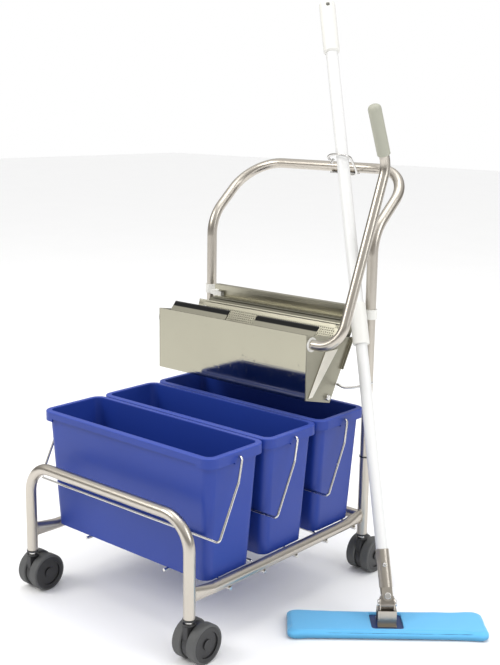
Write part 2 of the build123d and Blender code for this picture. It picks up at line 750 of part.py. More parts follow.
def paddle_screw(x):
    face = shaft_y + lever_tube_d / 2 + paddle_t
    shank = rod((x, shaft_y + lever_tube_d / 2 - lever_wall, shaft_z), (x, face, shaft_z), paddle_screw_d)
    head = rod((x, face, shaft_z), (x, face + paddle_screw_head_t, shaft_z), paddle_screw_head_d)
    return shank + fillet(head.edges().filter_by(GeomType.CIRCLE).sort_by(Axis.Y)[-1], screw_head_r)


# ---------------------------------------------------------------- flat mop

heading = math.radians(mop_heading)
lean_back = math.radians(mop_lean)
ground_run = Vector(math.cos(heading), math.sin(heading), 0)
off_side = Vector(-ground_run.Y, ground_run.X, 0)
handle_up = ground_run * math.sin(lean_back) + Vector(0, 0, math.cos(lean_back))
pass_point = Vector(leg_x, rear_y, mop_pass_height) + off_side * (tube_r + collar_d / 2 + mop_pass_gap)
mop_joint = pass_point - handle_up * ((mop_pass_height - mop_joint_z) / math.cos(lean_back))
pad_along = Vector(math.cos(math.radians(pad_heading)), math.sin(math.radians(pad_heading)), 0)
pad_back = Vector(-pad_along.Y, pad_along.X, 0)
yoke_tilt = math.atan2(handle_up.dot(pad_back), handle_up.Z)
yoke_up = pad_back * math.sin(yoke_tilt) + Vector(0, 0, math.cos(yoke_tilt))
yoke_back = pad_back * math.cos(yoke_tilt) - Vector(0, 0, math.sin(yoke_tilt))
head_pin = mop_joint - yoke_up * yoke_rise
handle_side = yoke_back.cross(handle_up)
low_end = (Align.CENTER, Align.CENTER, Align.MIN)


def handle_plane(along):
    """Plane across the mop handle: z up the handle, x beside the upper yoke pin."""
    return Plane(origin=mop_joint + handle_up * along, x_dir=handle_side, z_dir=handle_up)


def head_plane(z):
    """Level plane over the mop head: x along the pad."""
    return Plane(origin=(head_pin.X, head_pin.Y, z), x_dir=pad_along, z_dir=(0, 0, 1))


def yoke_plane():
    return Plane(origin=head_pin, x_dir=pad_along, z_dir=yoke_up)


def along_handle(foot, top, diameter):
    return handle_plane(foot) * Cylinder(diameter / 2, top - foot, align=low_end)


def mop_sleeve():
    """Soft sleeve with a pocket for the plate and a mouth for the bracket."""
    pad = extrude(RectangleRounded(pad_length, pad_depth, pad_corner_r), amount=pad_height)
    pad = fillet(pad.edges().group_by(Axis.Z)[-1], pad_edge_r)
    pocket_z = plate_lift - body_gap
    pad -= Pos(0, 0, pocket_z + plate_t / 2 + body_gap) * Box(
        plate_length + 2 * body_gap, plate_depth + 2 * body_gap, plate_t + 2 * body_gap)
    pad -= Pos(0, 0, pocket_z + pad_height / 2) * Box(pad_mouth_length, pad_mouth_depth, pad_height)
    return head_plane(0) * pad


def mop_plate():
    plate = extrude(RectangleRounded(plate_length, plate_depth, plate_corner_r), amount=plate_t)
    return head_plane(plate_lift) * plate


def mop_bracket():
    """Folded channel on the plate, with two lugs on top that hold the lower yoke pin."""
    foot_z = plate_lift + plate_t
    height = head_pin.Z - yoke_depth / 2 - bracket_pin_gap - foot_z
    half_depth = bracket_depth / 2
    shape = Pos(0, 0, height - sheet_t / 2) * Box(bracket_length, bracket_depth, sheet_t)
    for side in (-1, 1):
        shape += Pos(0, side * (half_depth - sheet_t / 2), height / 2) * Box(bracket_length, sheet_t, height)
        shape += Pos(0, side * (half_depth + bracket_foot / 2 - sheet_t), sheet_t / 2) * Box(
            bracket_length, bracket_foot, sheet_t)
    pin_height = head_pin.Z - foot_z
    lug_x = yoke_length / 2 + body_gap + sheet_t / 2
    for side in (-1, 1):
        lug = Pos(side * lug_x, 0, (height + pin_height) / 2) * Box(sheet_t, yoke_depth, pin_height - height)
        lug += Pos(side * lug_x, 0, pin_height) * Rot(0, 90, 0) * Cylinder(yoke_depth / 2, sheet_t)
        shape += lug
    shape -= Pos(0, 0, pin_height) * Rot(0, 90, 0) * Cylinder(yoke_pin_d / 2 + running_gap, 2 * yoke_length)
    return head_plane(foot_z) * shape


def mop_yoke():
    """Cross block of the two-way joint, bored for both pins."""
    block = Pos(0, 0, yoke_rise / 2) * Box(yoke_length, yoke_depth, yoke_rise)
    block += Rot(0, 90, 0) * Cylinder(yoke_depth / 2, yoke_length)
    block += Pos(0, 0, yoke_rise) * Rot(90, 0, 0) * Cylinder(yoke_depth / 2, yoke_depth)
    block -= Rot(0, 90, 0) * Cylinder(yoke_pin_d / 2, yoke_length)
    block -= Pos(0, 0, yoke_rise) * Rot(90, 0, 0) * Cylinder(yoke_pin_d / 2, yoke_depth)
    return yoke_plane() * block


def headed_pin(half_length):
    pin = Cylinder(yoke_pin_d / 2, 2 * half_length)
    for side in (-1, 1):
        head = Cylinder(yoke_head_d / 2, yoke_head_t)
        head = fillet(head.edges().group_by(Axis.Z)[-1 if side > 0 else 0], yoke_head_r)
        pin += Pos(0, 0, side * (half_length + yoke_head_t / 2)) * head
    return pin


def yoke_pins():
    """Lower pin along the pad and upper pin across it."""
    lower = Rot(0, 90, 0) * headed_pin(yoke_length / 2 + 2 * body_gap + sheet_t)
    upper = Pos(0, 0, yoke_rise) * Rot(90, 0, 0) * headed_pin(ferrule_d / 2 + body_gap)
    return [yoke_plane() * lower, yoke_plane() * upper]


def mop_ferrule():
    """Sleeve on the foot of the handle that ends in a fork for the upper yoke pin."""
    sleeve = Pos(0, 0, fork_slot_top - fork_overlap) * Cylinder(
        ferrule_d / 2, ferrule_top - fork_slot_top + fork_overlap, align=low_end)
    for side in (-1, 1):
        lug_y = side * (ferrule_d - ferrule_lug_t) / 2
        sleeve += Pos(0, lug_y, 0) * Rot(90, 0, 0) * Cylinder(yoke_depth / 2, ferrule_lug_t)
        sleeve += Pos(0, lug_y, fork_slot_top / 2) * Box(yoke_depth, ferrule_lug_t, fork_slot_top)
    sleeve -= Pos(0, 0, fork_slot_top - fork_slot_depth / 2) * Box(
        2 * yoke_length, yoke_depth + 2 * body_gap, fork_slot_depth)
    sleeve -= Rot(90, 0, 0) * Cylinder(yoke_pin_d / 2 + running_gap, 2 * yoke_depth)
    sleeve -= Pos(0, 0, ferrule_floor) * Cylinder(lower_tube_d / 2, ferrule_top, align=low_end)
    return handle_plane(0) * (sleeve - button_hole())


def button_hole():
    """Clear hole for the snap button, on the side away from the trolley."""
    return Pos(0, -lower_tube_d / 2, button_at) * Rot(90, 0, 0) * Cylinder(
        button_d / 2 + running_gap, lower_tube_d / 2)


def snap_button():
    inner_r = lower_tube_d / 2 - lower_tube_wall
    flange_y = -(inner_r - button_flange_in)
    tip_y = -(ferrule_d / 2 + button_out)
    stud_length = flange_y - tip_y
    stud = Pos(0, (flange_y + tip_y) / 2, button_at) * Rot(90, 0, 0) * Cylinder(button_d / 2, stud_length)
    stud = fillet(stud.edges().filter_by(GeomType.CIRCLE).sort_by(Axis.Y)[0], button_dome_r)
    stud += Pos(0, flange_y, button_at) * Rot(90, 0, 0) * Cylinder(
        button_d / 2 + button_flange, button_flange_t)
    return handle_plane(0) * stud


def lower_tube():
    tube = along_handle(ferrule_floor, lower_tube_top, lower_tube_d)
    tube -= along_handle(ferrule_floor, lower_tube_top, lower_tube_d - 2 * lower_tube_wall)
    return tube - handle_plane(0) * button_hole()


def upper_tube():
    return along_handle(upper_tube_foot, upper_tube_top, upper_tube_d) - along_handle(
        upper_tube_foot, upper_tube_top, sliding_bore_d)


def twist_collar():
    collar = Cylinder(collar_d / 2, collar_top - collar_foot, align=low_end)
    collar = fillet(collar.edges().filter_by(GeomType.CIRCLE), collar_edge_r)
    collar = handle_plane(collar_foot) * collar
    collar -= along_handle(collar_foot - cut_past, collar_top, sliding_bore_d)
    return collar - along_handle(
        upper_tube_foot - body_gap, collar_top + cut_past, upper_tube_d + 2 * running_gap)


def mop_grip():
    """Moulded grip, closed and domed at its top, with a hole to hang the mop by."""
    length = mop_grip_top - mop_grip_foot
    grip = Cylinder(mop_grip_d / 2, length, align=low_end)
    grip = fillet(grip.edges().group_by(Axis.Z)[-1], mop_grip_d * mop_grip_dome)
    grip = chamfer(grip.edges().group_by(Axis.Z)[0], mop_grip_chamfer)
    grip = handle_plane(mop_grip_foot) * grip
    grip -= along_handle(mop_grip_foot - cut_past, upper_tube_top, upper_tube_d)
    hole_at = handle_plane(mop_grip_top - hang_hole_drop)
    return grip - hole_at * Rot(90, 0, 0) * Cylinder(hang_hole_d / 2, 2 * mop_grip_d)


# ---------------------------------------------------------------- hook and rest

def mop_hook():
    """Wire hook whose foot lies along a strip under the handle bar, open at the left."""
    strip_z = handle_bar_z - tube_r - hook_strip_t / 2
    hook_at = mop_joint + handle_up * ((handle_bar_z + hook_rise - mop_joint_z) / handle_up.Z)
    strip_right = hook_at.X - hook_strip_gap
    strip = Pos(strip_right - hook_strip_length / 2, handle_bar_y, strip_z) * Box(
        hook_strip_length, hook_strip_width, hook_strip_t)
    strip -= rod((-leg_x + handle_bend_r, handle_bar_y, handle_bar_z),
                 (leg_x - handle_bend_r, handle_bar_y, handle_bar_z), tube_d)
    wire_z = strip_z - hook_strip_t / 2 - hook_wire_d / 2 + weld_sink
    points = [(strip_right - back, handle_bar_y, wire_z) for back in hook_foot_run]
    points.append((strip_right + hook_turn[0], handle_bar_y + hook_turn[1], wire_z + hook_turn[2]))
    points += [(hook_at.X + dx, hook_at.Y + dy, hook_at.Z + dz) for dx, dy, dz in hook_round]
    path = Spline(*points, tangents=[(1, 0, 0), (0.4, 0.2, 1)])
    return strip + swept(path, hook_wire_d)


def handle_rest():
    """Wire arm on the right end plate that the lower mop tube leans against."""
    beside = mop_joint + handle_up * ((plate_foot_z + rest_rise - mop_joint_z) / handle_up.Z)
    wall_x = wringer_half_x + sheet_t
    touch = beside + Vector(*rest_side).normalized() * ((lower_tube_d + rest_wire_d) / 2 + rest_touch_gap)
    points = [(wall_x - weld_sink, touch.Y - rest_foot[0], touch.Z - rest_foot[1])]
    points += [(wall_x + out, touch.Y - ahead, touch.Z - down) for out, ahead, down in rest_elbow]
    points.append((touch.X, touch.Y, touch.Z))
    points.append((touch.X + rest_end[0], touch.Y + rest_end[1], touch.Z + rest_end[2]))
    return swept(Spline(*points, tangents=[(1, 0, 0), (0.7, 0.6, 0.3)]), rest_wire_d)


def main():
    save(front_loop(), "front_loop")
    save(push_handle(), "push_handle")
    save(rear_cross_tube(), "rear_cross_tube")
    save(bucket_cradle(), "bucket_cradle")
    for side, word in ((-1, "left"), (1, "right")):
        save(rear_leg(side), f"rear_leg_{word}")
        save(side_rail(side), f"side_rail_{word}")
        save(end_plate(side), f"wringer_end_{word}")
        save(paddle(side), f"paddle_{word}")
    save(Compound(children=[handle_spigot(side) for side in (-1, 1)]), "handle_spigots")
    corners = {"fl": (-leg_x, front_y), "fr": (leg_x, front_y), "rl": (-leg_x, rear_y), "rr": (leg_x, rear_y)}
    save(Compound(children=[stem_socket(x, y) for x, y in corners.values()]), "stem_sockets")
    for word, (x, y) in corners.items():
        save(caster_hood(x, y), f"caster_{word}_hood")
        save(Compound(children=[caster_stem(x, y), caster_axle(x, y)]), f"caster_{word}_pins")
        save(caster_wheel(x, y, -1), f"caster_{word}_wheel_left")
        save(caster_wheel(x, y, 1), f"caster_{word}_wheel_right")
    for word, y in zip(("front", "middle", "rear"), bucket_ys):
        save(bucket(y), f"bucket_{word}")
        save(bail(y), f"bail_{word}")
    save(front_plate(), "wringer_front_plate")
    save(fixed_jaw(), "fixed_jaw")
    save(moving_jaw(), "moving_jaw")
    save(jaw_pivot_rod(), "jaw_pivot_rod")
    save(back_rail(), "back_rail")
    save(Compound(children=[rail_clip(side) for side in (-1, 1)]), "rail_clips")
    save(Compound(children=[shaft_bush(side) for side in (-1, 1)]), "shaft_bushes")
    save(lever_tube(), "lever_tube")
    save(lever_grip(), "lever_grip")
    save(Compound(children=[paddle_screw(x) for x in screw_places()]), "paddle_screws")
    save(mop_hook(), "mop_hook")
    save(handle_rest(), "handle_rest")
    save(mop_sleeve(), "mop_sleeve")
    save(mop_plate(), "mop_plate")
    save(mop_bracket(), "mop_bracket")
    save(mop_yoke(), "mop_yoke")
    save(Compound(children=yoke_pins()), "yoke_pins")
    save(mop_ferrule(), "mop_ferrule")
    save(snap_button(), "snap_button")
    save(lower_tube(), "lower_tube")
    save(upper_tube(), "upper_tube")
    save(twist_collar(), "twist_collar")
    save(mop_grip(), "mop_grip")


main()
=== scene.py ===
import json
import math

import bmesh
import bpy
from bpy.props import FloatProperty, FloatVectorProperty, IntProperty, PointerProperty
from mathutils import Matrix, Vector
from mathutils.bvhtree import BVHTree


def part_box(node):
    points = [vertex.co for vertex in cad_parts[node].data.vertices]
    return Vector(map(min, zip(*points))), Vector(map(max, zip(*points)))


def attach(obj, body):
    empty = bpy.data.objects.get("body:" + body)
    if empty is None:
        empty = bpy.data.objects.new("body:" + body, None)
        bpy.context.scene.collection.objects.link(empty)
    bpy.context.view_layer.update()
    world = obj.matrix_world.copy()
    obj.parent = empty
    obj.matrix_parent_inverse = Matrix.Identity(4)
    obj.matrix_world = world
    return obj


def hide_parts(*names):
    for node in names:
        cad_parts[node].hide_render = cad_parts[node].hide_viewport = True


bl_info = {
    "name": "Mop Trolley With Press Wringer",
    "version": (1, 0, 0),
    "blender": (4, 5, 0),
    "location": "3D View > Sidebar > Mop Trolley",
    "description": "Finishes, pierced jaw, caster webs, welds, soft pad, stitches and stage",
    "category": "Object",
}

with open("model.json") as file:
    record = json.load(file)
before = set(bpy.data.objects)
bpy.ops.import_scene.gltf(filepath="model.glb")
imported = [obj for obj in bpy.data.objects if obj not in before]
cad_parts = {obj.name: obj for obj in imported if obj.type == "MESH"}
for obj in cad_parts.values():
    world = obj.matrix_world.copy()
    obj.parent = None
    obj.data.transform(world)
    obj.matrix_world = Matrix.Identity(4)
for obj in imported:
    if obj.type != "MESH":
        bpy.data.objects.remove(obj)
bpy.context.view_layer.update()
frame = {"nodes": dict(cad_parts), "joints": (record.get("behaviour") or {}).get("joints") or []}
joints = {joint["name"]: joint for joint in frame["joints"]}

MM = 0.001
UP = Vector((0, 0, 1))


# ---------------------------------------------------------------- node building

class Value:
    """A socket of a node tree. Arithmetic on it adds Math nodes."""

    def __init__(self, graph, socket):
        self.graph = graph
        self.socket = socket

    def __add__(self, other):
        return self.graph.math("ADD", self, other)

    def __radd__(self, other):
        return self.graph.math("ADD", other, self)

    def __sub__(self, other):
        return self.graph.math("SUBTRACT", self, other)

    def __rsub__(self, other):
        return self.graph.math("SUBTRACT", other, self)

    def __mul__(self, other):
        return self.graph.math("MULTIPLY", self, other)

    def __rmul__(self, other):
        return self.graph.math("MULTIPLY", other, self)

    def __truediv__(self, other):
        return self.graph.math("DIVIDE", self, other)

    def __pow__(self, other):
        return self.graph.math("POWER", self, other)

    def __mod__(self, other):
        return self.graph.math("FLOORED_MODULO", self, other)


class Graph:
    """Adds nodes to a material, world or geometry tree."""

    def __init__(self, tree):
        self.tree = tree

    def node(self, kind, settings=None, sockets=None, out=0):
        made = self.tree.nodes.new(kind)
        for name, value in (settings or {}).items():
            if name == "stops":
                for index, (place, colour) in enumerate(value):
                    if index < 2:
                        stop = made.color_ramp.elements[index]
                        stop.position = place
                    else:
                        stop = made.color_ramp.elements.new(place)
                    stop.color = (*colour, 1)
            else:
                setattr(made, name, value)
        for name, value in (sockets or {}).items():
            if isinstance(value, Value):
                self.tree.links.new(value.socket, made.inputs[name])
            else:
                made.inputs[name].default_value = value
        return Value(self, made.outputs[out])

    def math(self, operation, first, second):
        return self.node("ShaderNodeMath", {"operation": operation}, {0: first, 1: second})

    def place(self):
        return self.node("ShaderNodeTexCoord", out="Object")

    def axes(self, vector):
        split = self.node("ShaderNodeSeparateXYZ", sockets={0: vector}).socket.node
        return [Value(self, socket) for socket in split.outputs]

    def stretched(self, scale, turn=0.0):
        """Object coordinates turned about Z and stretched by a scale for each axis."""
        return self.node("ShaderNodeMapping", sockets={
            "Vector": self.place(), "Rotation": (0, 0, turn), "Scale": scale})

    def noise(self, vector, scale, detail=3.0, roughness=0.5):
        return self.node("ShaderNodeTexNoise", sockets={
            "Vector": vector, "Scale": scale, "Detail": detail, "Roughness": roughness})

    def smooth(self, value, low, high, start=0.0, end=1.0):
        return self.node("ShaderNodeMapRange", {"interpolation_type": "SMOOTHSTEP"}, {
            "Value": value, "From Min": low, "From Max": high, "To Min": start, "To Max": end})

    def blend_colours(self, share, first, second):
        return self.node("ShaderNodeMix", {"data_type": "RGBA"}, {
            0: share, 6: solid(first), 7: solid(second)}, out=2)

    def bump(self, height, distance, strength=1.0):
        return self.node("ShaderNodeBump", sockets={
            "Strength": strength, "Distance": distance, "Height": height})


def solid(colour):
    """A plain colour with its alpha; a socket stays as it is."""
    if isinstance(colour, Value):
        return colour
    return (*colour[:3], 1)


def finish_material(name, build, **constants):
    """A Principled material. build returns the varying sockets, constants are set on the shader."""
    material = bpy.data.materials.new(name)
    material.use_nodes = True
    tree = material.node_tree
    tree.nodes.clear()
    graph = Graph(tree)
    sockets = {}
    for word, value in constants.items():
        sockets[word.replace("_", " ").title().replace("Ior", "IOR")] = value
    sockets.update(build(graph))
    shader = graph.node("ShaderNodeBsdfPrincipled", sockets=sockets)
    out = tree.nodes.new("ShaderNodeOutputMaterial")
    tree.links.new(shader.socket, out.inputs["Surface"])
    material.diffuse_color = (0.5, 0.5, 0.5, 1)
    return material


# ---------------------------------------------------------------- finishes

def polished_steel(name, tint, rough, along=(1, 1, 1)):
    """Polished tube: soft patches, faint polishing lines and small marks."""

    def build(graph):
        patches = graph.noise(graph.place(), 9, 3)
        lines = graph.noise(graph.stretched(along), 420, 2, 0.6)
        marks = graph.smooth(graph.noise(graph.place(), 160, 4, 0.7), 0.62, 0.7)
        dull = tuple(part * 0.8 for part in tint)
        return {
            "Base Color": graph.blend_colours(patches * 0.5 + marks * 0.25, tint, dull),
            "Roughness": rough + patches * 0.1 + marks * 0.12 + lines * 0.05 - 0.07,
            "Normal": graph.bump(lines * 0.6 + marks * -0.5, 0.00006, 0.5),
        }

    return finish_material(name, build, metallic=1.0)


def brushed_sheet(name, tint, rough, along, painted_light=None):
    """Sheet steel with a fine grain and soft handling marks; an optional mask may lay painted shade or a
    painted reflection over a share of it.
    """

    def build(graph):
        grain = graph.noise(graph.stretched(along), 1.0, 3, 0.65)
        broad = graph.noise(graph.place(), 6, 4, 0.6)
        smudge = graph.smooth(broad, 0.4, 0.75)
        dark = tuple(part * 0.84 for part in tint)
        colour = graph.blend_colours(grain * 0.45 + smudge * 0.35, tint, dark)
        # The optional mask lays painted shade or a painted reflection over the sheet.
        if painted_light:
            share, painted_colour = painted_light(graph)
            colour = graph.blend_colours(share, colour, painted_colour)
        return {
            "Base Color": colour,
            "Roughness": rough + grain * 0.16 + smudge * 0.08 - 0.08,
            "Normal": graph.bump(grain, 0.00007, 0.6),
        }

    return finish_material(name, build, metallic=1.0)


def moulded_plastic(name, tint, shade, rough, grain=1400.0, depth=0.00004, **constants):
    """Moulded plastic: fine pitting, slow tone changes and scuffs that go pale and matt."""

    def build(graph):
        tone = graph.noise(graph.place(), 5, 3)
        pits = graph.noise(graph.place(), grain, 2, 0.6)
        scuffs = graph.smooth(graph.noise(graph.stretched((1, 1, 0.12)), 55, 5, 0.75), 0.64, 0.72)
        worn = tuple(min(1.0, part * 1.25 + 0.02) for part in tint)
        body = graph.blend_colours(tone, tint, shade)
        return {
            "Base Color": graph.blend_colours(scuffs * 0.25, body, worn),
            "Roughness": rough + tone * 0.1 + scuffs * 0.14 - 0.05,
            "Normal": graph.bump(pits, depth, 0.6),
        }

    return finish_material(name, build, **constants)


def bucket_plastic(name, tint, rim_top):
    """Saturated moulded plastic with a painted highlight along the top edge of its rim."""

    def build(graph):
        height = graph.axes(graph.place())[2]
        tone = graph.noise(graph.place(), 5, 3)
        pits = graph.noise(graph.place(), 1400, 2, 0.6)
        scuffs = graph.smooth(graph.noise(graph.stretched((1, 1, 0.12)), 55, 5, 0.75), 0.66, 0.74)
        # Painted highlight: the colour goes paler over the top 3 mm of the rim, standing in for light caught
        # along its edge; the scuffs also mixed into the paler blue are wear.
        edge = graph.smooth(height, rim_top - 3 * MM, rim_top - 0.6 * MM)
        body = graph.blend_colours(tone, tint, tuple(part * 0.78 for part in tint))
        pale = tuple(part * 1.3 + 0.03 for part in tint)
        return {
            "Base Color": graph.blend_colours(edge * 0.55 + scuffs * 0.12, body, pale),
            "Roughness": 0.4 + tone * 0.1 + scuffs * 0.12 - 0.05,
            "Normal": graph.bump(pits, 0.00004, 0.6),
        }

    return finish_material(name, build, specular_ior_level=0.4)


def wheel_finish(name, axle_y, axle_z, radius):
    """Dark hub and disc inside a lighter rubber tread, told apart by the distance from the axle."""

    def build(graph):
        ahead, height = graph.axes(graph.place())[1:]
        away_y = ahead - axle_y
        away_z = height - axle_z
        out = (away_y * away_y + away_z * away_z) ** 0.5
        tread = graph.smooth(out, radius * 0.87, radius * 0.89)
        inside = graph.smooth(out, radius * 0.84, radius * 0.86)
        ring = inside * graph.smooth(out, radius * 0.88, radius * 0.9, 1, 0)
        dust = graph.noise(graph.place(), 70, 5, 0.7)
        pits = graph.noise(graph.place(), 900, 2, 0.7)
        rubber = graph.blend_colours(dust, (0.060, 0.062, 0.063), (0.095, 0.096, 0.095))
        disc = graph.blend_colours(dust, (0.012, 0.012, 0.013), (0.022, 0.022, 0.023))
        return {
            "Base Color": graph.blend_colours(tread, disc, rubber),
            "Roughness": 0.26 + tread * 0.32 + dust * 0.1,
            "Normal": graph.bump(pits * 0.3 - ring * 4, 0.0002, 0.7),
        }

    return finish_material(name, build)


def sleeve_cloth(name, tint, shade, heading):
    """Tight microfibre knit: two crossed thread directions, a soft nap, slow tone changes and painted shade
    on its lower sides.
    """
    threads = 5200

    def build(graph):
        turned = graph.stretched((1, 1, 1), heading)
        along, across, height = graph.axes(turned)
        warp = graph.node("ShaderNodeMath", {"operation": "SINE"}, {0: along * threads})
        weft = graph.node("ShaderNodeMath", {"operation": "SINE"}, {0: across * threads})
        nap = graph.noise(graph.place(), 900, 4, 0.75)
        slow = graph.noise(graph.place(), 14, 4, 0.6)
        # Painted shade: the colour darkens towards the floor over the lowest 4 to 14.5 mm of the sleeve.
        side = graph.smooth(height, 0.004, 0.0145, 0.75, 0)
        body = graph.blend_colours(slow * 0.55 + nap * 0.25, tint, shade)
        return {
            "Base Color": graph.blend_colours(side, body, tuple(part * 0.5 for part in shade)),
            "Roughness": 0.78 + nap * 0.14,
            "Normal": graph.bump(warp * weft * 0.35 + nap * 0.8 + slow * 1.5, 0.00022, 0.8),
        }

    return finish_material(name, build, sheen_weight=0.35, sheen_roughness=0.4, specular_ior_level=0.25)


# ---------------------------------------------------------------- mesh helpers

def new_piece(name, bm):
    """A mesh object at the origin from a bmesh, with its doubles merged and faces outward."""
    bmesh.ops.remove_doubles(bm, verts=bm.verts, dist=0.01 * MM)
    bmesh.ops.recalc_face_normals(bm, faces=bm.faces)
    mesh = bpy.data.meshes.new(name)
    bm.to_mesh(mesh)
    bm.free()
    piece = bpy.data.objects.new(name, mesh)
    bpy.context.scene.collection.objects.link(piece)
    return piece


def plain_mesh(name, source):
    """The evaluated shape of an object as a plain mesh object; the source object is removed."""
    depsgraph = bpy.context.evaluated_depsgraph_get()
    mesh = bpy.data.meshes.new_from_object(source.evaluated_get(depsgraph), depsgraph=depsgraph)
    old = source.data
    bpy.data.objects.remove(source)
    bpy.data.meshes.remove(old)
    mesh.name = name
    piece = bpy.data.objects.new(name, mesh)
    bpy.context.scene.collection.objects.link(piece)
    return piece


def shade(piece, angle=40.0):
    """Smooth shading with edges sharper than the angle kept crisp."""
    mesh = piece.data
    for polygon in mesh.polygons:
        polygon.use_smooth = True
    mesh.set_sharp_from_angle(angle=math.radians(angle))


def mount(piece, body, material=None, replaced=()):
    if material:
        piece.data.materials.clear()
        piece.data.materials.append(material)
    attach(piece, body)
    if replaced:
        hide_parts(*replaced)


def square_axes(run):
    """Two directions square to a run."""
    side = run.cross(UP)
    if side.length < 0.1:
        side = run.cross(Vector((1, 0, 0)))
    side.normalize()
    return side, run.cross(side).normalized()


def add_rings(bm, rings, closed_ends=True):
    """Skins rings of points, one after another, and caps the two ends."""
    made = [[bm.verts.new(point) for point in ring] for ring in rings]
    count = len(made[0])
    for low, high in zip(made, made[1:]):
        for index in range(count):
            follow = (index + 1) % count
            bm.faces.new((low[index], low[follow], high[follow], high[index]))
    if closed_ends:
        bm.faces.new(made[0][::-1])
        bm.faces.new(made[-1])


def add_turned(bm, start, run, profile, steps):
    """Turned shape round a run; the profile lists (distance along, radius)."""
    side, other = square_axes(run)
    rings = []
    for along, radius in profile:
        centre = start + run * along
        rings.append([
            centre + (side * math.cos(turn) + other * math.sin(turn)) * radius
            for turn in (2 * math.pi * step / steps for step in range(steps))])
    add_rings(bm, rings)


def rounded_bar(length, radius, edge):
    """Profile of a round bar with broken edges at both ends, for add_turned."""
    return [(0, radius - edge), (edge, radius), (length - edge, radius), (length, radius - edge)]


def add_bar(bm, centre, axes, sizes, edge):
    """Bar with broken edges: its eight corners become small flats along every edge."""
    half = [size / 2 for size in sizes]
    rings = []
    for level, inset in ((-half[2], edge), (-half[2] + edge, 0), (half[2] - edge, 0), (half[2], edge)):
        wide = half[0] - inset
        deep = half[1] - inset
        corners = [(wide - edge, -deep), (wide, -deep + edge), (wide, deep - edge), (wide - edge, deep),
                   (-wide + edge, deep), (-wide, deep - edge), (-wide, -deep + edge), (-wide + edge, -deep)]
        rings.append([centre + axes[0] * x + axes[1] * y + axes[2] * level for x, y in corners])
    add_rings(bm, rings)


# ---------------------------------------------------------------- geometry trees

def geometry_tree(name, inputs):
    """An empty geometry tree with named inputs; returns it with its graph and input values."""
    tree = bpy.data.node_groups.new(name, "GeometryNodeTree")
    tree.interface.new_socket("Geometry", in_out="INPUT", socket_type="NodeSocketGeometry")
    tree.interface.new_socket("Geometry", in_out="OUTPUT", socket_type="NodeSocketGeometry")
    for label, kind in inputs:
        tree.interface.new_socket(label, in_out="INPUT", socket_type=f"NodeSocket{kind}")
    graph = Graph(tree)
    group = tree.nodes.new("NodeGroupInput")
    values = {socket.name: Value(graph, socket) for socket in group.outputs if socket.name}
    return tree, graph, values


def end_tree(graph, geometry, material):
    """Closes a tree with Realize Instances and Set Material."""
    real = graph.node("GeometryNodeRealizeInstances", sockets={"Geometry": geometry})
    dressed = graph.node("GeometryNodeSetMaterial", sockets={"Geometry": real, "Material": material})
    out = graph.tree.nodes.new("NodeGroupOutput")
    graph.tree.links.new(dressed.socket, out.inputs["Geometry"])


def run_tree(name, source, tree, settings):
    """Runs a geometry tree on an object with settings by input name, and returns the plain result."""
    modifier = source.modifiers.new("shape", "NODES")
    modifier.node_group = tree
    for item in tree.interface.items_tree:
        if item.in_out == "INPUT" and item.name in settings:
            modifier[item.identifier] = settings[item.name]
    source.update_tag()
    bpy.context.view_layer.update()
    return plain_mesh(name, source)


def beads_tree():
    """Small rounded beads laid end to end along the paths of a mesh of edges."""
    tree, graph, given = geometry_tree("beads_on_path", [
        ("Spacing", "Float"), ("Length", "Float"), ("Thickness", "Float"), ("Material", "Material")])
    curve = graph.node("GeometryNodeMeshToCurve", sockets={"Mesh": given["Geometry"]})
    points = graph.node("GeometryNodeResampleCurve", {"mode": "LENGTH"}, {
        "Curve": curve, "Length": given["Spacing"]})
    bead = graph.node("GeometryNodeMeshIcoSphere", sockets={"Radius": 0.5, "Subdivisions": 2})
    size = graph.node("ShaderNodeCombineXYZ", sockets={
        0: given["Length"], 1: given["Thickness"], 2: given["Thickness"]})
    tangent = graph.node("GeometryNodeInputTangent")
    turn = graph.node("FunctionNodeAlignRotationToVector", {"axis": "X"}, {"Vector": tangent})
    laid = graph.node("GeometryNodeInstanceOnPoints", sockets={
        "Points": points, "Instance": bead, "Rotation": turn, "Scale": size})
    smooth = graph.node("GeometryNodeSetShadeSmooth", sockets={"Geometry": laid})
    end_tree(graph, smooth, given["Material"])
    return tree


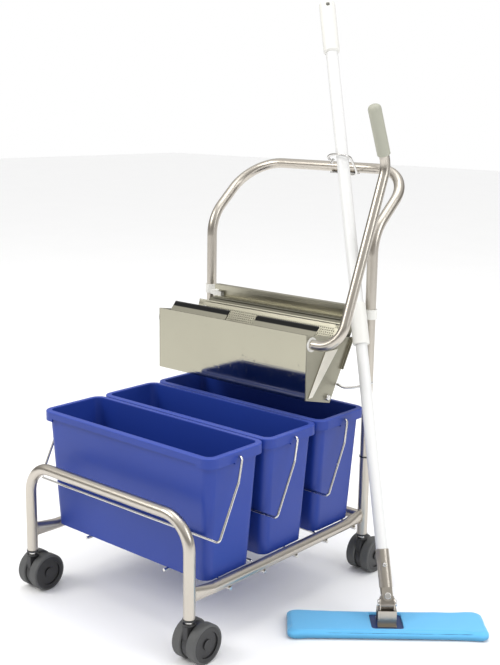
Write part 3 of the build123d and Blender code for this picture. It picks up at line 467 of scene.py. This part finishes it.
def pierced_tree():
    """A sheet of staggered pierced tiles, given its thickness and stood in its place."""
    tree, graph, given = geometry_tree("pierced_sheet", [
        ("Tile", "Object"), ("Pitch", "Float"), ("Row Height", "Float"), ("Columns", "Int"), ("Rows", "Int"),
        ("Thickness", "Float"), ("Turn", "Rotation"), ("Place", "Vector"), ("Material", "Material")])
    wide = given["Pitch"] * (given["Columns"] - 1)
    tall = given["Row Height"] * (given["Rows"] - 1)
    grid = graph.node("GeometryNodeMeshGrid", sockets={
        "Size X": wide, "Size Y": tall, "Vertices X": given["Columns"], "Vertices Y": given["Rows"]})
    index = graph.node("GeometryNodeInputIndex")
    odd = (index % given["Rows"]) % 2
    shift = graph.node("ShaderNodeCombineXYZ", sockets={0: given["Pitch"] * (odd - 0.5) * 0.5})
    staggered = graph.node("GeometryNodeSetPosition", sockets={"Geometry": grid, "Offset": shift})
    tile = graph.node("GeometryNodeObjectInfo", sockets={"Object": given["Tile"]}, out="Geometry")
    laid = graph.node("GeometryNodeInstanceOnPoints", sockets={"Points": staggered, "Instance": tile})
    sheet = graph.node("GeometryNodeRealizeInstances", sockets={"Geometry": laid})
    sheet = graph.node("GeometryNodeMergeByDistance", sockets={"Geometry": sheet, "Distance": 0.01 * MM})
    front = graph.node("GeometryNodeExtrudeMesh", {"mode": "FACES"}, {
        "Mesh": sheet, "Offset Scale": given["Thickness"], "Individual": False})
    back = graph.node("GeometryNodeFlipFaces", sockets={"Mesh": sheet})
    both = graph.node("GeometryNodeJoinGeometry").socket.node
    for half in (front, back):
        graph.tree.links.new(half.socket, both.inputs[0])
    closed = graph.node("GeometryNodeMergeByDistance", sockets={
        "Geometry": Value(graph, both.outputs[0]), "Distance": 0.01 * MM})
    stood = graph.node("GeometryNodeTransform", sockets={
        "Geometry": closed, "Translation": given["Place"], "Rotation": given["Turn"]})
    whole = graph.node("GeometryNodeJoinGeometry").socket.node
    for part in (stood, given["Geometry"]):
        graph.tree.links.new(part.socket, whole.inputs[0])
    end_tree(graph, Value(graph, whole.outputs[0]), given["Material"])
    return tree


# ---------------------------------------------------------------- places read from the frame

def joint_point(name):
    return Vector(joints[name]["pos_m"])


def joint_axis(name):
    return Vector(joints[name]["axis"]).normalized()


def node_points(name):
    return [vertex.co for vertex in frame["nodes"][name].data.vertices]


def cradle_rows():
    """Where the cradle's cross rods run, read from their ends outside the rails."""
    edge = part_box("bucket_cradle")[1].x - 2 * MM
    places = sorted(point.y for point in node_points("bucket_cradle") if point.x > edge)
    rows = [[places[0]]]
    for place in places[1:]:
        if place - rows[-1][-1] > 10 * MM:
            rows.append([])
        rows[-1].append(place)
    return [(min(row) + max(row)) / 2 for row in rows]


def path_object(name, paths):
    """Mesh of edges that follows each path of points."""
    points, edges = [], []
    for path, closed in paths:
        first = len(points)
        points += [tuple(point) for point in path]
        edges += [(first + step, first + step + 1) for step in range(len(path) - 1)]
        if closed:
            edges.append((len(points) - 1, first))
    mesh = bpy.data.meshes.new(name)
    mesh.from_pydata(points, edges, [])
    source = bpy.data.objects.new(name, mesh)
    bpy.context.scene.collection.objects.link(source)
    return source


# ---------------------------------------------------------------- settings

class MopTrolleyColours(bpy.types.PropertyGroup):
    """Main colours."""

    bucket_blue: FloatVectorProperty(
        name="Bucket", description="Colour of the three buckets", subtype="COLOR",
        size=3, min=0, max=1, default=(0.014, 0.044, 0.30))
    pad_blue: FloatVectorProperty(
        name="Pad", description="Colour of the mop sleeve", subtype="COLOR",
        size=3, min=0, max=1, default=(0.14, 0.50, 0.84))
    tube_steel: FloatVectorProperty(
        name="Tubes", description="Tint of the polished tube frame", subtype="COLOR",
        size=3, min=0, max=1, default=(0.56, 0.52, 0.46))
    sheet_steel: FloatVectorProperty(
        name="Sheet steel", description="Tint of the wringer's sheet steel", subtype="COLOR",
        size=3, min=0, max=1, default=(0.52, 0.50, 0.40))
    grip_beige: FloatVectorProperty(
        name="Lever grip", description="Colour of the lever's grip", subtype="COLOR",
        size=3, min=0, max=1, default=(0.38, 0.38, 0.31))
    mop_white: FloatVectorProperty(
        name="Mop tubes", description="Colour of the mop's tubes and fittings", subtype="COLOR",
        size=3, min=0, max=1, default=(0.72, 0.72, 0.71))


class MopTrolleySizes(bpy.types.PropertyGroup):
    """Sizes of the added detail."""

    hole_pitch: FloatProperty(
        name="Hole pitch", description="Distance between holes along the pierced jaw",
        default=5.4 * MM, min=3 * MM, max=20 * MM, unit="LENGTH")
    hole_diameter: FloatProperty(
        name="Hole diameter", description="Diameter of the holes in the pierced jaw",
        default=3.3 * MM, min=1 * MM, max=10 * MM, unit="LENGTH")
    sheet_thickness: FloatProperty(
        name="Jaw thickness", description="Thickness of the pierced jaw",
        default=1.6 * MM, min=0.5 * MM, max=2 * MM, unit="LENGTH")
    stitch_length: FloatProperty(
        name="Stitch length", description="Length of one stitch of the sleeve's seams",
        default=3.0 * MM, min=1 * MM, max=10 * MM, unit="LENGTH")
    stitch_spacing: FloatProperty(
        name="Stitch spacing", description="Distance from one stitch to the next",
        default=3.9 * MM, min=1 * MM, max=12 * MM, unit="LENGTH")
    weld_ripple: FloatProperty(
        name="Weld ripple", description="Distance between the ripples of a weld",
        default=1.1 * MM, min=0.5 * MM, max=5 * MM, unit="LENGTH")
    weld_width: FloatProperty(
        name="Weld width", description="Width of a weld",
        default=3.0 * MM, min=1 * MM, max=8 * MM, unit="LENGTH")
    pad_puff: FloatProperty(
        name="Pad puff", description="How far the pad's cloth may swell from its first shape",
        default=5 * MM, min=0, max=12 * MM, unit="LENGTH")
    pad_steps: IntProperty(
        name="Pad steps", description="Steps of the cloth that fills the pad", default=20, min=2, max=60)


def sizes():
    return bpy.context.scene.mop_trolley_sizes


def colours():
    return bpy.context.scene.mop_trolley_colours


# ---------------------------------------------------------------- operators

class MopTrolleyFinishes(bpy.types.Operator):
    """Gives every solid part its finish"""

    bl_idname = "mop_trolley.finishes"
    bl_label = "Finish Solid Parts"

    def execute(self, context):
        hue = colours()
        tube = tuple(hue.tube_steel)
        sheet = tuple(hue.sheet_steel)
        blue = tuple(hue.bucket_blue)
        white = tuple(hue.mop_white)
        beige = tuple(hue.grip_beige)
        upright = polished_steel("tube_steel_upright", tube, 0.3, (1, 1, 0.02))
        level = polished_steel("tube_steel_level", tube, 0.3, (0.02, 1, 1))
        lengthwise = polished_steel("tube_steel_lengthwise", tube, 0.32, (1, 0.02, 1))
        wire = polished_steel("bright_wire", (0.70, 0.69, 0.67), 0.2)
        front = brushed_sheet("sheet_front", sheet, 0.34, (14, 900, 900))
        mirror = polished_steel("sheet_mirror", tuple(part * 0.76 for part in sheet), 0.05, (0.02, 1, 1))
        # Painted shade: the fixed jaw takes the sheet steel at three tenths of its brightness, a shaded copy
        # of it for the jaw that sits behind.
        shade_darkened_jaw = brushed_sheet("sheet_shade_darkened_jaw", tuple(part * 0.3 for part in sheet), 0.5, (14, 900, 900))
        paddle_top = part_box("paddle_left")[1].z
        plate_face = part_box("wringer_front_plate")[1].x + 2 * MM

        # Painted shade: near-black over the top 7.5 to 9 mm of each paddle, standing in for the shadow along
        # its top edge.
        def painted_shade_band(graph):
            height = graph.axes(graph.place())[2]
            return graph.smooth(height, paddle_top - 9 * MM, paddle_top - 7.5 * MM), (0.018, 0.018, 0.018)

        # Painted reflection: a cream band on the end plates' raised rib, 0.4 to 2.4 mm out from the plate
        # face, for the light the bent sheet reflects.
        def painted_reflection_rib(graph):
            out = graph.math("ABSOLUTE", graph.axes(graph.place())[0], 0)
            rise = graph.smooth(out, plate_face + 0.4 * MM, plate_face + 1.2 * MM)
            fall = graph.smooth(out, plate_face + 1.8 * MM, plate_face + 2.4 * MM, 1, 0)
            return rise * fall, (0.86, 0.83, 0.74)

        # Painted shade: the paddles take the sheet steel at six tenths of its brightness, a shaded copy of
        # it.
        shade_darkened_grey = tuple(part * 0.62 for part in sheet)
        paddle = brushed_sheet("sheet_paddle_painted_shade", shade_darkened_grey, 0.34, (14, 900, 900), painted_shade_band)
        # Painted shade: the end plates take the sheet steel at seven tenths of its brightness, a shaded copy
        # of it; their rib carries a painted reflection.
        dark = tuple(part * 0.7 for part in sheet)
        ends = brushed_sheet("sheet_ends_painted_shade_and_reflection", dark, 0.36, (900, 900, 14), painted_reflection_rib)
        fittings = brushed_sheet("mop_fittings", (0.52, 0.48, 0.42), 0.3, (700, 700, 30))
        cast = brushed_sheet("yoke_metal", (0.34, 0.31, 0.27), 0.42, (300, 300, 300))
        bucket = bucket_plastic("bucket_blue", blue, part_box("bucket_front")[1].z)
        near_black = (0.016, 0.016, 0.017)
        black = moulded_plastic("black_nylon", near_black, (0.028, 0.028, 0.029), 0.42, 900, 0.00008)
        worn_beige = tuple(part * 0.86 for part in beige)
        grip = moulded_plastic("grip_beige", beige, worn_beige, 0.46, 1100, 0.00006)
        creamy = (white[0], white[1] * 0.99, white[2] * 0.95)
        fitting_white = moulded_plastic("white_nylon", creamy, tuple(part * 0.92 for part in creamy), 0.38)
        tube_white = moulded_plastic("white_tube", white, tuple(part * 0.93 for part in white), 0.3)
        navy = moulded_plastic("navy_plate", (0.012, 0.03, 0.12), (0.02, 0.05, 0.17), 0.4)
        front_y = joint_point("roll_fl_left")
        rear_y = joint_point("roll_rl_left")
        front_wheel = wheel_finish("wheel_front", front_y.y, front_y.z, front_y.z)
        rear_wheel = wheel_finish("wheel_rear", rear_y.y, rear_y.z, rear_y.z)
        plan = {
            "front_loop": upright, "rear_leg": upright, "push_handle": upright, "rear_cross_tube": level,
            "side_rail": lengthwise, "lever_tube": upright,
            "bucket_cradle": wire, "mop_hook": wire, "handle_rest": wire, "bail": wire,
            "jaw_pivot_rod": wire, "yoke_pins": wire, "paddle_screws": wire, "snap_button": wire,
            "wringer_front_plate": mirror, "fixed_jaw": shade_darkened_jaw, "moving_jaw": front, "back_rail": front,
            "paddle_left": paddle, "paddle_right": paddle, "wringer_end": ends,
            "mop_bracket": fittings, "mop_ferrule": fittings, "mop_yoke": cast,
            "bucket_front": bucket, "bucket_middle": bucket, "bucket_rear": bucket,
            "handle_spigots": black, "stem_sockets": black, "lever_grip": grip,
            "rail_clips": fitting_white, "shaft_bushes": fitting_white, "twist_collar": fitting_white,
            "mop_grip": fitting_white, "lower_tube": tube_white, "upper_tube": tube_white, "mop_plate": navy,
        }
        for name, part in frame["nodes"].items():
            if name.startswith("caster_"):
                if name.endswith("_hood"):
                    material = black
                elif name.endswith("_pins"):
                    material = wire
                else:
                    material = front_wheel if name[7] == "f" else rear_wheel
            else:
                found = [key for key in plan if name.startswith(key)]
                if not found and name != "mop_sleeve":
                    raise RuntimeError(f"{name} has no finish")
                material = plan[max(found, key=len)] if found else navy
            for slot in part.material_slots:
                slot.material = material
        return {"FINISHED"}


class MopTrolleyPiercedJaw(bpy.types.Operator):
    """Makes the pierced moving jaw with its hems, bead and hinge barrel"""

    bl_idname = "mop_trolley.pierced_jaw"
    bl_label = "Make Pierced Jaw"

    def tile(self, pitch, row, hole):
        """Flat tile with a hole; its corners and mid points meet the staggered neighbours."""
        sides = 8
        outer = [(0.5, 0), (0.5, 0.5), (0, 0.5), (-0.5, 0.5),
                 (-0.5, 0), (-0.5, -0.5), (0, -0.5), (0.5, -0.5)]
        bm = bmesh.new()
        rim = [bm.verts.new((x * pitch, y * row, 0)) for x, y in outer]
        ring = []
        for step in range(sides):
            turn = step * math.pi / 4
            ring.append(bm.verts.new((math.cos(turn) * hole / 2, math.sin(turn) * hole / 2, 0)))
        for step in range(sides):
            follow = (step + 1) % sides
            bm.faces.new((rim[step], rim[follow], ring[follow], ring[step]))
        mesh = bpy.data.meshes.new("pierced_tile")
        bm.to_mesh(mesh)
        bm.free()
        made = bpy.data.objects.new("pierced_tile", mesh)
        bpy.context.scene.collection.objects.link(made)
        return made

    def execute(self, context):
        size = sizes()
        low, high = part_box("moving_jaw")
        hinge = joint_point("jaw_swing")
        bead_r = 2.5 * MM
        top = Vector((0, high.y - bead_r, high.z - bead_r))
        foot = Vector((0, hinge.y, hinge.z))
        lean = (top - foot).normalized()
        length = (top - foot).length
        across = Vector((1, 0, 0))
        facing = lean.cross(across) * -1
        half = high.x
        pitch = size.hole_pitch
        row = pitch * math.sin(math.radians(60))
        margin = 9 * MM
        hem_thickness = 2 * MM
        hem_edge = 0.3 * MM
        round_edge = 0.5 * MM
        overlap = 0.4 * MM
        columns = int((2 * half - 2 * margin) / pitch)
        rows = int((length - 2 * margin) / row)
        wide = columns * pitch
        tall = rows * row
        thick = size.sheet_thickness
        bm = bmesh.new()
        axes = (across, lean, facing)
        hem = half - wide / 2 + pitch / 2
        for side in (-1, 1):
            add_bar(bm, foot + across * (side * (half - hem / 2)) + lean * length / 2, axes,
                    (hem, length, hem_thickness), hem_edge)
        strip = (length - tall) / 2 + overlap
        for level in (strip / 2, length - strip / 2):
            add_bar(bm, foot + lean * level, axes, (2 * half, strip, hem_thickness), hem_edge)
        barrel_r = hinge.z - low.z
        for centre, radius, steps_round in ((top, bead_r, 20), (foot, barrel_r, 24)):
            profile = rounded_bar(2 * half, radius, round_edge)
            add_turned(bm, centre - across * half, across, profile, steps_round)
        frame_parts = new_piece("jaw_frame", bm)
        tile = self.tile(pitch, row, size.hole_diameter)
        turn = Matrix((across, lean, facing)).transposed().to_euler()
        place = foot + lean * (length / 2) - facing * (thick / 2)
        steel = frame["nodes"]["moving_jaw"].material_slots[0].material
        jaw = run_tree("pierced_jaw", frame_parts, pierced_tree(), {
            "Tile": tile, "Pitch": pitch, "Row Height": row, "Columns": columns, "Rows": rows,
            "Thickness": thick, "Turn": turn, "Place": place, "Material": steel})
        bpy.data.objects.remove(tile)
        if len(jaw.data.polygons) < 1000:
            raise RuntimeError("the jaw came out without its holes")
        shade(jaw, 35)
        mount(jaw, "press_jaw", replaced=["moving_jaw"])
        return {"FINISHED"}


class MopTrolleyCasterWebs(bpy.types.Operator):
    """Makes the web between each caster's two wheels, with its boss for the stem"""

    bl_idname = "mop_trolley.caster_webs"
    bl_label = "Make Caster Webs"

    def execute(self, context):
        across = Vector((1, 0, 0))
        ahead = Vector((0, 1, 0))
        web = 6.4 * MM
        web_inset = 4 * MM
        web_edge = 0.8 * MM
        over_wheel = 0.6 * MM
        neck_lift = 8 * MM
        neck_depth = 23 * MM
        boss_r = 12 * MM
        boss_edge = 0.6 * MM
        for corner in ("fl", "fr", "rl", "rr"):
            hub = joint_point(f"roll_{corner}_left")
            boss = joint_point(f"swivel_{corner}")
            shoulder = 2 * hub.z + over_wheel
            neck_foot = hub.z + neck_lift
            tall = boss.z - shoulder
            bm = bmesh.new()
            add_turned(bm, hub - across * web, across, rounded_bar(2 * web, hub.z - web_inset, web_edge), 48)
            add_bar(bm, Vector((boss.x, boss.y, (neck_foot + shoulder) / 2)), (across, ahead, UP),
                    (2 * web, neck_depth, shoulder - neck_foot), 1 * MM)
            add_turned(bm, Vector((boss.x, boss.y, shoulder)), UP, [
                (0, boss_r), (tall - boss_edge, boss_r), (tall, boss_r - boss_edge)], 32)
            piece = new_piece(f"caster_{corner}_web", bm)
            shade(piece, 40)
            black = frame["nodes"][f"caster_{corner}_hood"].material_slots[0].material
            mount(piece, f"caster_{corner}", black, [f"caster_{corner}_hood"])
        return {"FINISHED"}


class MopTrolleyPaddleLips(bpy.types.Operator):
    """Adds near-black lips along the top of the pressing paddles, a painted shadow line along their top
    edges
    """

    bl_idname = "mop_trolley.paddle_lips"
    bl_label = "Add Paddle Lips"

    def execute(self, context):
        # Painted shadow: the lips are near-black plastic bars standing for the shade along each paddle's top
        # edge.
        dark = moulded_plastic("painted_shadow_lip", (0.014, 0.014, 0.015), (0.024, 0.024, 0.025), 0.4)
        bm = bmesh.new()
        lip = 3.4 * MM
        proud = 0.6 * MM
        for side in ("left", "right"):
            low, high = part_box(f"paddle_{side}")
            inset = proud - lip / 2
            centre = Vector(((low.x + high.x) / 2, high.y + inset, high.z + inset))
            axes = (Vector((1, 0, 0)), Vector((0, 1, 0)), UP)
            add_bar(bm, centre, axes, (high.x - low.x, lip, lip), 0.5 * MM)
        lips = new_piece("paddle_lips", bm)
        shade(lips, 40)
        mount(lips, "lever", dark)
        return {"FINISHED"}


class MopTrolleyWelds(bpy.types.Operator):
    """Lays rippled welds where the frame's tubes and rods meet"""

    bl_idname = "mop_trolley.welds"
    bl_label = "Lay Welds"

    def execute(self, context):
        size = sizes()
        paths = []
        rail_low, rail_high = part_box("side_rail_right")
        rail_x = (rail_low.x + rail_high.x) / 2
        foot_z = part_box("bucket_cradle")[0].z
        tube_r = (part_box("rear_leg_right")[1].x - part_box("rear_leg_right")[0].x) / 2
        rod_r = 3 * MM
        weld_half = 5 * MM
        flat_half_width = 6.4 * MM
        flat_half_height = 15.4 * MM
        ring_steps = 28
        for row in cradle_rows():
            for side in (-1, 1):
                for edge in (-1, 1):
                    y = row + edge * rod_r
                    z = foot_z + rod_r * 1.9
                    across = (-weld_half, 0, weld_half)
                    paths.append(([Vector((side * rail_x + x, y, z)) for x in across], False))
        front_leg_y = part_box("front_loop")[0].y + tube_r
        rear_leg_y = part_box("rear_leg_right")[0].y + tube_r
        for side in (-1, 1):
            for end, leg_y in ((1, front_leg_y), (-1, rear_leg_y)):
                ring = []
                for step in range(ring_steps):
                    turn = 2 * math.pi * step / ring_steps
                    x = flat_half_width * math.cos(turn)
                    reach = math.sqrt(tube_r ** 2 - x ** 2)
                    z = rail_high.z - flat_half_height + flat_half_height * math.sin(turn)
                    ring.append(Vector((side * rail_x + x, leg_y + end * reach, z)))
                paths.append((ring, True))
        source = path_object("weld_paths", paths)
        steel = frame["nodes"]["side_rail_right"].material_slots[0].material
        welds = run_tree("frame_welds", source, beads_tree(), {
            "Spacing": size.weld_ripple, "Length": size.weld_ripple * 2.4, "Thickness": size.weld_width,
            "Material": steel})
        mount(welds, "trolley")
        return {"FINISHED"}


class MopTrolleyPad(bpy.types.Operator):
    """Fills the mop sleeve as soft cloth and cuts its mouth"""

    bl_idname = "mop_trolley.pad"
    bl_label = "Make Mop Pad"

    def execute(self, context):
        size = sizes()
        along = joint_axis("head_tilt")
        across = Vector((-along.y, along.x, 0))
        centre = joint_point("head_tilt")
        centre.z = 0
        spread = [point - centre for point in node_points("mop_sleeve")]
        half_long = max(point.dot(along) for point in spread)
        half_deep = max(point.dot(across) for point in spread)
        tall = max(point.z for point in spread)
        shrink = 2.5 * MM
        corner_r = 16
        levels_and_insets = ((1.2, 6), (2.6, 2), (6, 0), (12, 0.4), (14.8, 2.6), (16.2, 8), (16.8, 22))
        bm = bmesh.new()
        rings = []
        for level, inset in levels_and_insets:
            outline = rounded_outline(half_long - shrink - inset * MM, half_deep - shrink - inset * MM,
                                      max(4 * MM, (corner_r - inset * 0.5) * MM), 8)
            rings.append([centre + along * x + across * y + UP * level * MM for x, y in outline])
        add_rings(bm, rings)
        pad = new_piece("pad_start", bm)
        remesh = pad.modifiers.new("even", "REMESH")
        remesh.mode = "VOXEL"
        remesh.voxel_size = 4.5 * MM
        pad = plain_mesh("pad_cloth", pad)
        self.fill(pad, size)
        for vertex in pad.data.vertices:
            vertex.co = self.shaped(vertex.co, centre, along, across, half_long, half_deep, tall)
        finer = pad.modifiers.new("finer", "SUBSURF")
        finer.levels = 1
        finer.render_levels = 1
        pad = plain_mesh("pad_sleeve", pad)
        self.cut_mouth(pad, centre, along, across)
        pad = plain_mesh("pad_sleeve", pad)
        bpy.data.objects.remove(bpy.data.objects["mouth_cutter"])
        heading = -math.atan2(along.y, along.x)
        blue = tuple(colours().pad_blue)
        cloth = sleeve_cloth("pad_cloth", blue, tuple(part * 0.85 for part in blue), heading)
        for polygon in pad.data.polygons:
            polygon.use_smooth = True
        mount(pad, "mop_head", cloth, ["mop_sleeve"])
        return {"FINISHED"}

    def fill(self, pad, size):
        """Swells the pad with cloth pressure, and holds each point near where it started."""
        start = [vertex.co.copy() for vertex in pad.data.vertices]
        cloth = pad.modifiers.new("cloth", "CLOTH")
        cloth.settings.use_pressure = True
        cloth.settings.uniform_pressure_force = 4
        cloth.settings.effector_weights.gravity = 0
        cloth.settings.quality = 6
        scene = bpy.context.scene
        for step in range(1, size.pad_steps + 1):
            scene.frame_set(step)
        depsgraph = bpy.context.evaluated_depsgraph_get()
        swollen = [vertex.co.copy() for vertex in pad.evaluated_get(depsgraph).data.vertices]
        pad.modifiers.remove(cloth)
        scene.frame_set(1)
        for vertex, old, new in zip(pad.data.vertices, start, swollen):
            move = new - old
            if move.length > size.pad_puff:
                move *= size.pad_puff / move.length
            vertex.co = old + move

    def shaped(self, point, centre, along, across, half_long, half_deep, tall):
        """Keeps a point in the sleeve's space, level on the floor and a little uneven on top."""
        out = point - centre
        x = max(-half_long, min(half_long, out.dot(along)))
        y = max(-half_deep, min(half_deep, out.dot(across)))
        z = max(0.6 * MM, min(tall, out.z))
        wave = math.sin(x * 34) * math.sin(y * 52 + 0.8) + 0.6 * math.sin(x * 71 + 1.3)
        if z > 8 * MM:
            z += 0.35 * MM * wave * (1 - abs(y) / half_deep)
        return centre + along * x + across * y + UP * min(z, tall)

    def cut_mouth(self, pad, centre, along, across):
        """Cuts the opening where the bracket comes through."""
        bm = bmesh.new()
        mouth_floor = 7.6 * MM
        above_pad = 40 * MM
        outline = rounded_outline(31 * MM, 33 * MM, 7 * MM, 6)
        rings = [[centre + along * x + across * y + UP * level for x, y in outline]
                 for level in (mouth_floor, above_pad)]
        add_rings(bm, rings)
        cutter = new_piece("mouth_cutter", bm)
        cutter.hide_render = True
        cut = pad.modifiers.new("mouth", "BOOLEAN")
        cut.operation = "DIFFERENCE"
        cut.object = cutter
        cut.solver = "EXACT"


def rounded_outline(half_x, half_y, radius, steps):
    """Points round a rectangle with round corners."""
    outline = []
    for corner, (sx, sy) in enumerate(((1, -1), (1, 1), (-1, 1), (-1, -1))):
        for step in range(steps + 1):
            turn = math.radians(-90 + 90 * corner + 90 * step / steps)
            outline.append((sx * (half_x - radius) + radius * math.cos(turn),
                            sy * (half_y - radius) + radius * math.sin(turn)))
    return outline


class MopTrolleyStitches(bpy.types.Operator):
    """Sews the sleeve's edge seam and the seam round its mouth"""

    bl_idname = "mop_trolley.stitches"
    bl_label = "Sew Pad Seams"

    def execute(self, context):
        size = sizes()
        pad = bpy.data.objects.get("pad_sleeve")
        if pad is None:
            raise RuntimeError("the pad has to be made before its seams")
        along = joint_axis("head_tilt")
        across = Vector((-along.y, along.x, 0))
        centre = joint_point("head_tilt")
        centre.z = 0
        spread = [vertex.co - centre for vertex in pad.data.vertices]
        half_long = max(point.dot(along) for point in spread)
        half_deep = max(point.dot(across) for point in spread)
        surface = BVHTree.FromPolygons([vertex.co for vertex in pad.data.vertices],
                                       [polygon.vertices for polygon in pad.data.polygons])
        paths = []
        edge = 9 * MM
        outer_seam = (half_long - edge, half_deep - edge, 12 * MM)
        mouth_seam = (35.5 * MM, 37.5 * MM, 9 * MM)
        for wide, deep, radius in (outer_seam, mouth_seam):
            path = []
            for x, y in even_loop(rounded_outline(wide, deep, radius, 6), 4 * MM):
                above = centre + along * x + across * y + UP * 0.05
                hit = surface.ray_cast(above, -UP)[0]
                if hit is not None:
                    path.append(hit + UP * 0.15 * MM)
            paths.append((path, True))
        thread = sleeve_cloth("seam_thread", (0.25, 0.58, 0.82), (0.18, 0.45, 0.7), 0.0)
        stitches = run_tree("pad_stitches", path_object("seam_paths", paths), beads_tree(), {
            "Spacing": size.stitch_spacing, "Length": size.stitch_length, "Thickness": 0.9 * MM,
            "Material": thread})
        mount(stitches, "mop_head")
        return {"FINISHED"}


def even_loop(outline, spacing):
    """Points a set distance apart round a closed outline."""
    loop = outline + outline[:1]
    points = []
    for (x0, y0), (x1, y1) in zip(loop, loop[1:]):
        length = math.hypot(x1 - x0, y1 - y0)
        parts = max(1, round(length / spacing))
        points += [(x0 + (x1 - x0) * part / parts, y0 + (y1 - y0) * part / parts) for part in range(parts)]
    return points


class MopTrolleyStage(bpy.types.Operator):
    """Sets the pale floor, the soft lights and the camera"""

    bl_idname = "mop_trolley.stage"
    bl_label = "Set Stage"

    def floor(self):
        bm = bmesh.new()
        bmesh.ops.create_grid(bm, x_segments=8, y_segments=8, size=14)
        ground = new_piece("floor", bm)

        def build(graph):
            tone = graph.noise(graph.place(), 3, 3)
            return {"Base Color": graph.blend_colours(tone, (0.93, 0.93, 0.93), (0.95, 0.95, 0.95))}

        ground.data.materials.append(finish_material("floor_paint", build, roughness=0.8))

    def light(self, name, place, target, size, power, colour=(1, 1, 1)):
        lamp = bpy.data.lights.new(name, "AREA")
        lamp.shape = "RECTANGLE"
        lamp.size, lamp.size_y = size
        lamp.energy = power
        lamp.color = colour
        holder = bpy.data.objects.new(name, lamp)
        holder.location = place
        holder.rotation_euler = (Vector(target) - Vector(place)).to_track_quat("-Z", "Y").to_euler()
        bpy.context.scene.collection.objects.link(holder)

    def surroundings(self):
        """White all round, but a studio with a dark horizon for what shiny surfaces reflect."""
        world = bpy.data.worlds.new("studio")
        bpy.context.scene.world = world
        world.use_nodes = True
        world.node_tree.nodes.clear()
        graph = Graph(world.node_tree)
        direction = graph.node("ShaderNodeTexCoord", out="Generated")
        height = graph.axes(direction)[2]
        room = graph.node("ShaderNodeValToRGB", {"stops": [
            (0.0, (0.42, 0.40, 0.37)), (1.0, (0.95, 0.95, 0.95)), (0.46, (0.24, 0.22, 0.20)),
            (0.56, (0.12, 0.11, 0.10)), (0.70, (0.62, 0.61, 0.59))]}, {"Fac": height * 0.5 + 0.5})
        mirrored = graph.node("ShaderNodeLightPath", out="Is Glossy Ray")
        colour = graph.blend_colours(mirrored, (1.0, 1.0, 1.0), room)
        back = graph.node("ShaderNodeBackground", sockets={"Color": colour, "Strength": 1.0})
        out = world.node_tree.nodes.new("ShaderNodeOutputWorld")
        world.node_tree.links.new(back.socket, out.inputs["Surface"])

    def camera(self):
        lens = bpy.data.cameras.new("camera")
        lens.lens = 58.0
        lens.sensor_width = 36.0
        lens.sensor_fit = "AUTO"
        lens.clip_end = 60
        place = Vector((1.4442, -1.5275, 0.9821))
        turn = math.radians(40.798)
        dip = math.radians(12.046)
        roll = math.radians(0.869)
        ahead = Vector((-math.sin(turn) * math.cos(dip), math.cos(turn) * math.cos(dip), -math.sin(dip)))
        right = ahead.cross(UP).normalized()
        above = right.cross(ahead)
        across = right * math.cos(roll) + above * math.sin(roll)
        over = above * math.cos(roll) - right * math.sin(roll)
        stand = bpy.data.objects.new("camera", lens)
        matrix = Matrix((across, over, -ahead)).transposed().to_4x4()
        matrix.translation = place
        stand.matrix_world = matrix
        bpy.context.scene.collection.objects.link(stand)
        bpy.context.scene.camera = stand

    def execute(self, context):
        context.scene.view_settings.view_transform = "Standard"
        self.floor()
        centre = (0.05, 0, 0.45)
        self.light("key", (-1.6, -2.6, 2.9), centre, (1.6, 1.6), 52, (1.0, 0.985, 0.96))
        self.light("side", (2.9, 0.3, 1.9), centre, (1.2, 2.0), 24, (0.96, 0.98, 1.0))
        self.light("top", (0.1, 0.3, 3.4), centre, (2.4, 2.4), 34)
        self.surroundings()
        self.camera()
        return {"FINISHED"}


class MopTrolleyPanel(bpy.types.Panel):
    """Lists the steps and their settings"""

    bl_idname = "VIEW3D_PT_mop_trolley"
    bl_label = "Mop Trolley"
    bl_space_type = "VIEW_3D"
    bl_region_type = "UI"
    bl_category = "Mop Trolley"

    def draw(self, context):
        for settings in (context.scene.mop_trolley_colours, context.scene.mop_trolley_sizes):
            for name in settings.__annotations__:
                self.layout.prop(settings, name)
        for step in steps:
            self.layout.operator(step.bl_idname)


steps = (MopTrolleyFinishes, MopTrolleyPiercedJaw, MopTrolleyCasterWebs, MopTrolleyPaddleLips,
         MopTrolleyWelds, MopTrolleyPad, MopTrolleyStitches, MopTrolleyStage)
classes = (MopTrolleyColours, MopTrolleySizes, *steps, MopTrolleyPanel)


def register():
    for item in classes:
        bpy.utils.register_class(item)
    bpy.types.Scene.mop_trolley_colours = PointerProperty(type=MopTrolleyColours)
    bpy.types.Scene.mop_trolley_sizes = PointerProperty(type=MopTrolleySizes)


def unregister():
    del bpy.types.Scene.mop_trolley_sizes
    del bpy.types.Scene.mop_trolley_colours
    for item in reversed(classes):
        bpy.utils.unregister_class(item)


def main():
    register()
    for step in steps:
        group, name = step.bl_idname.split(".")
        getattr(getattr(bpy.ops, group), name)()


if __name__ == "__main__":
    main()
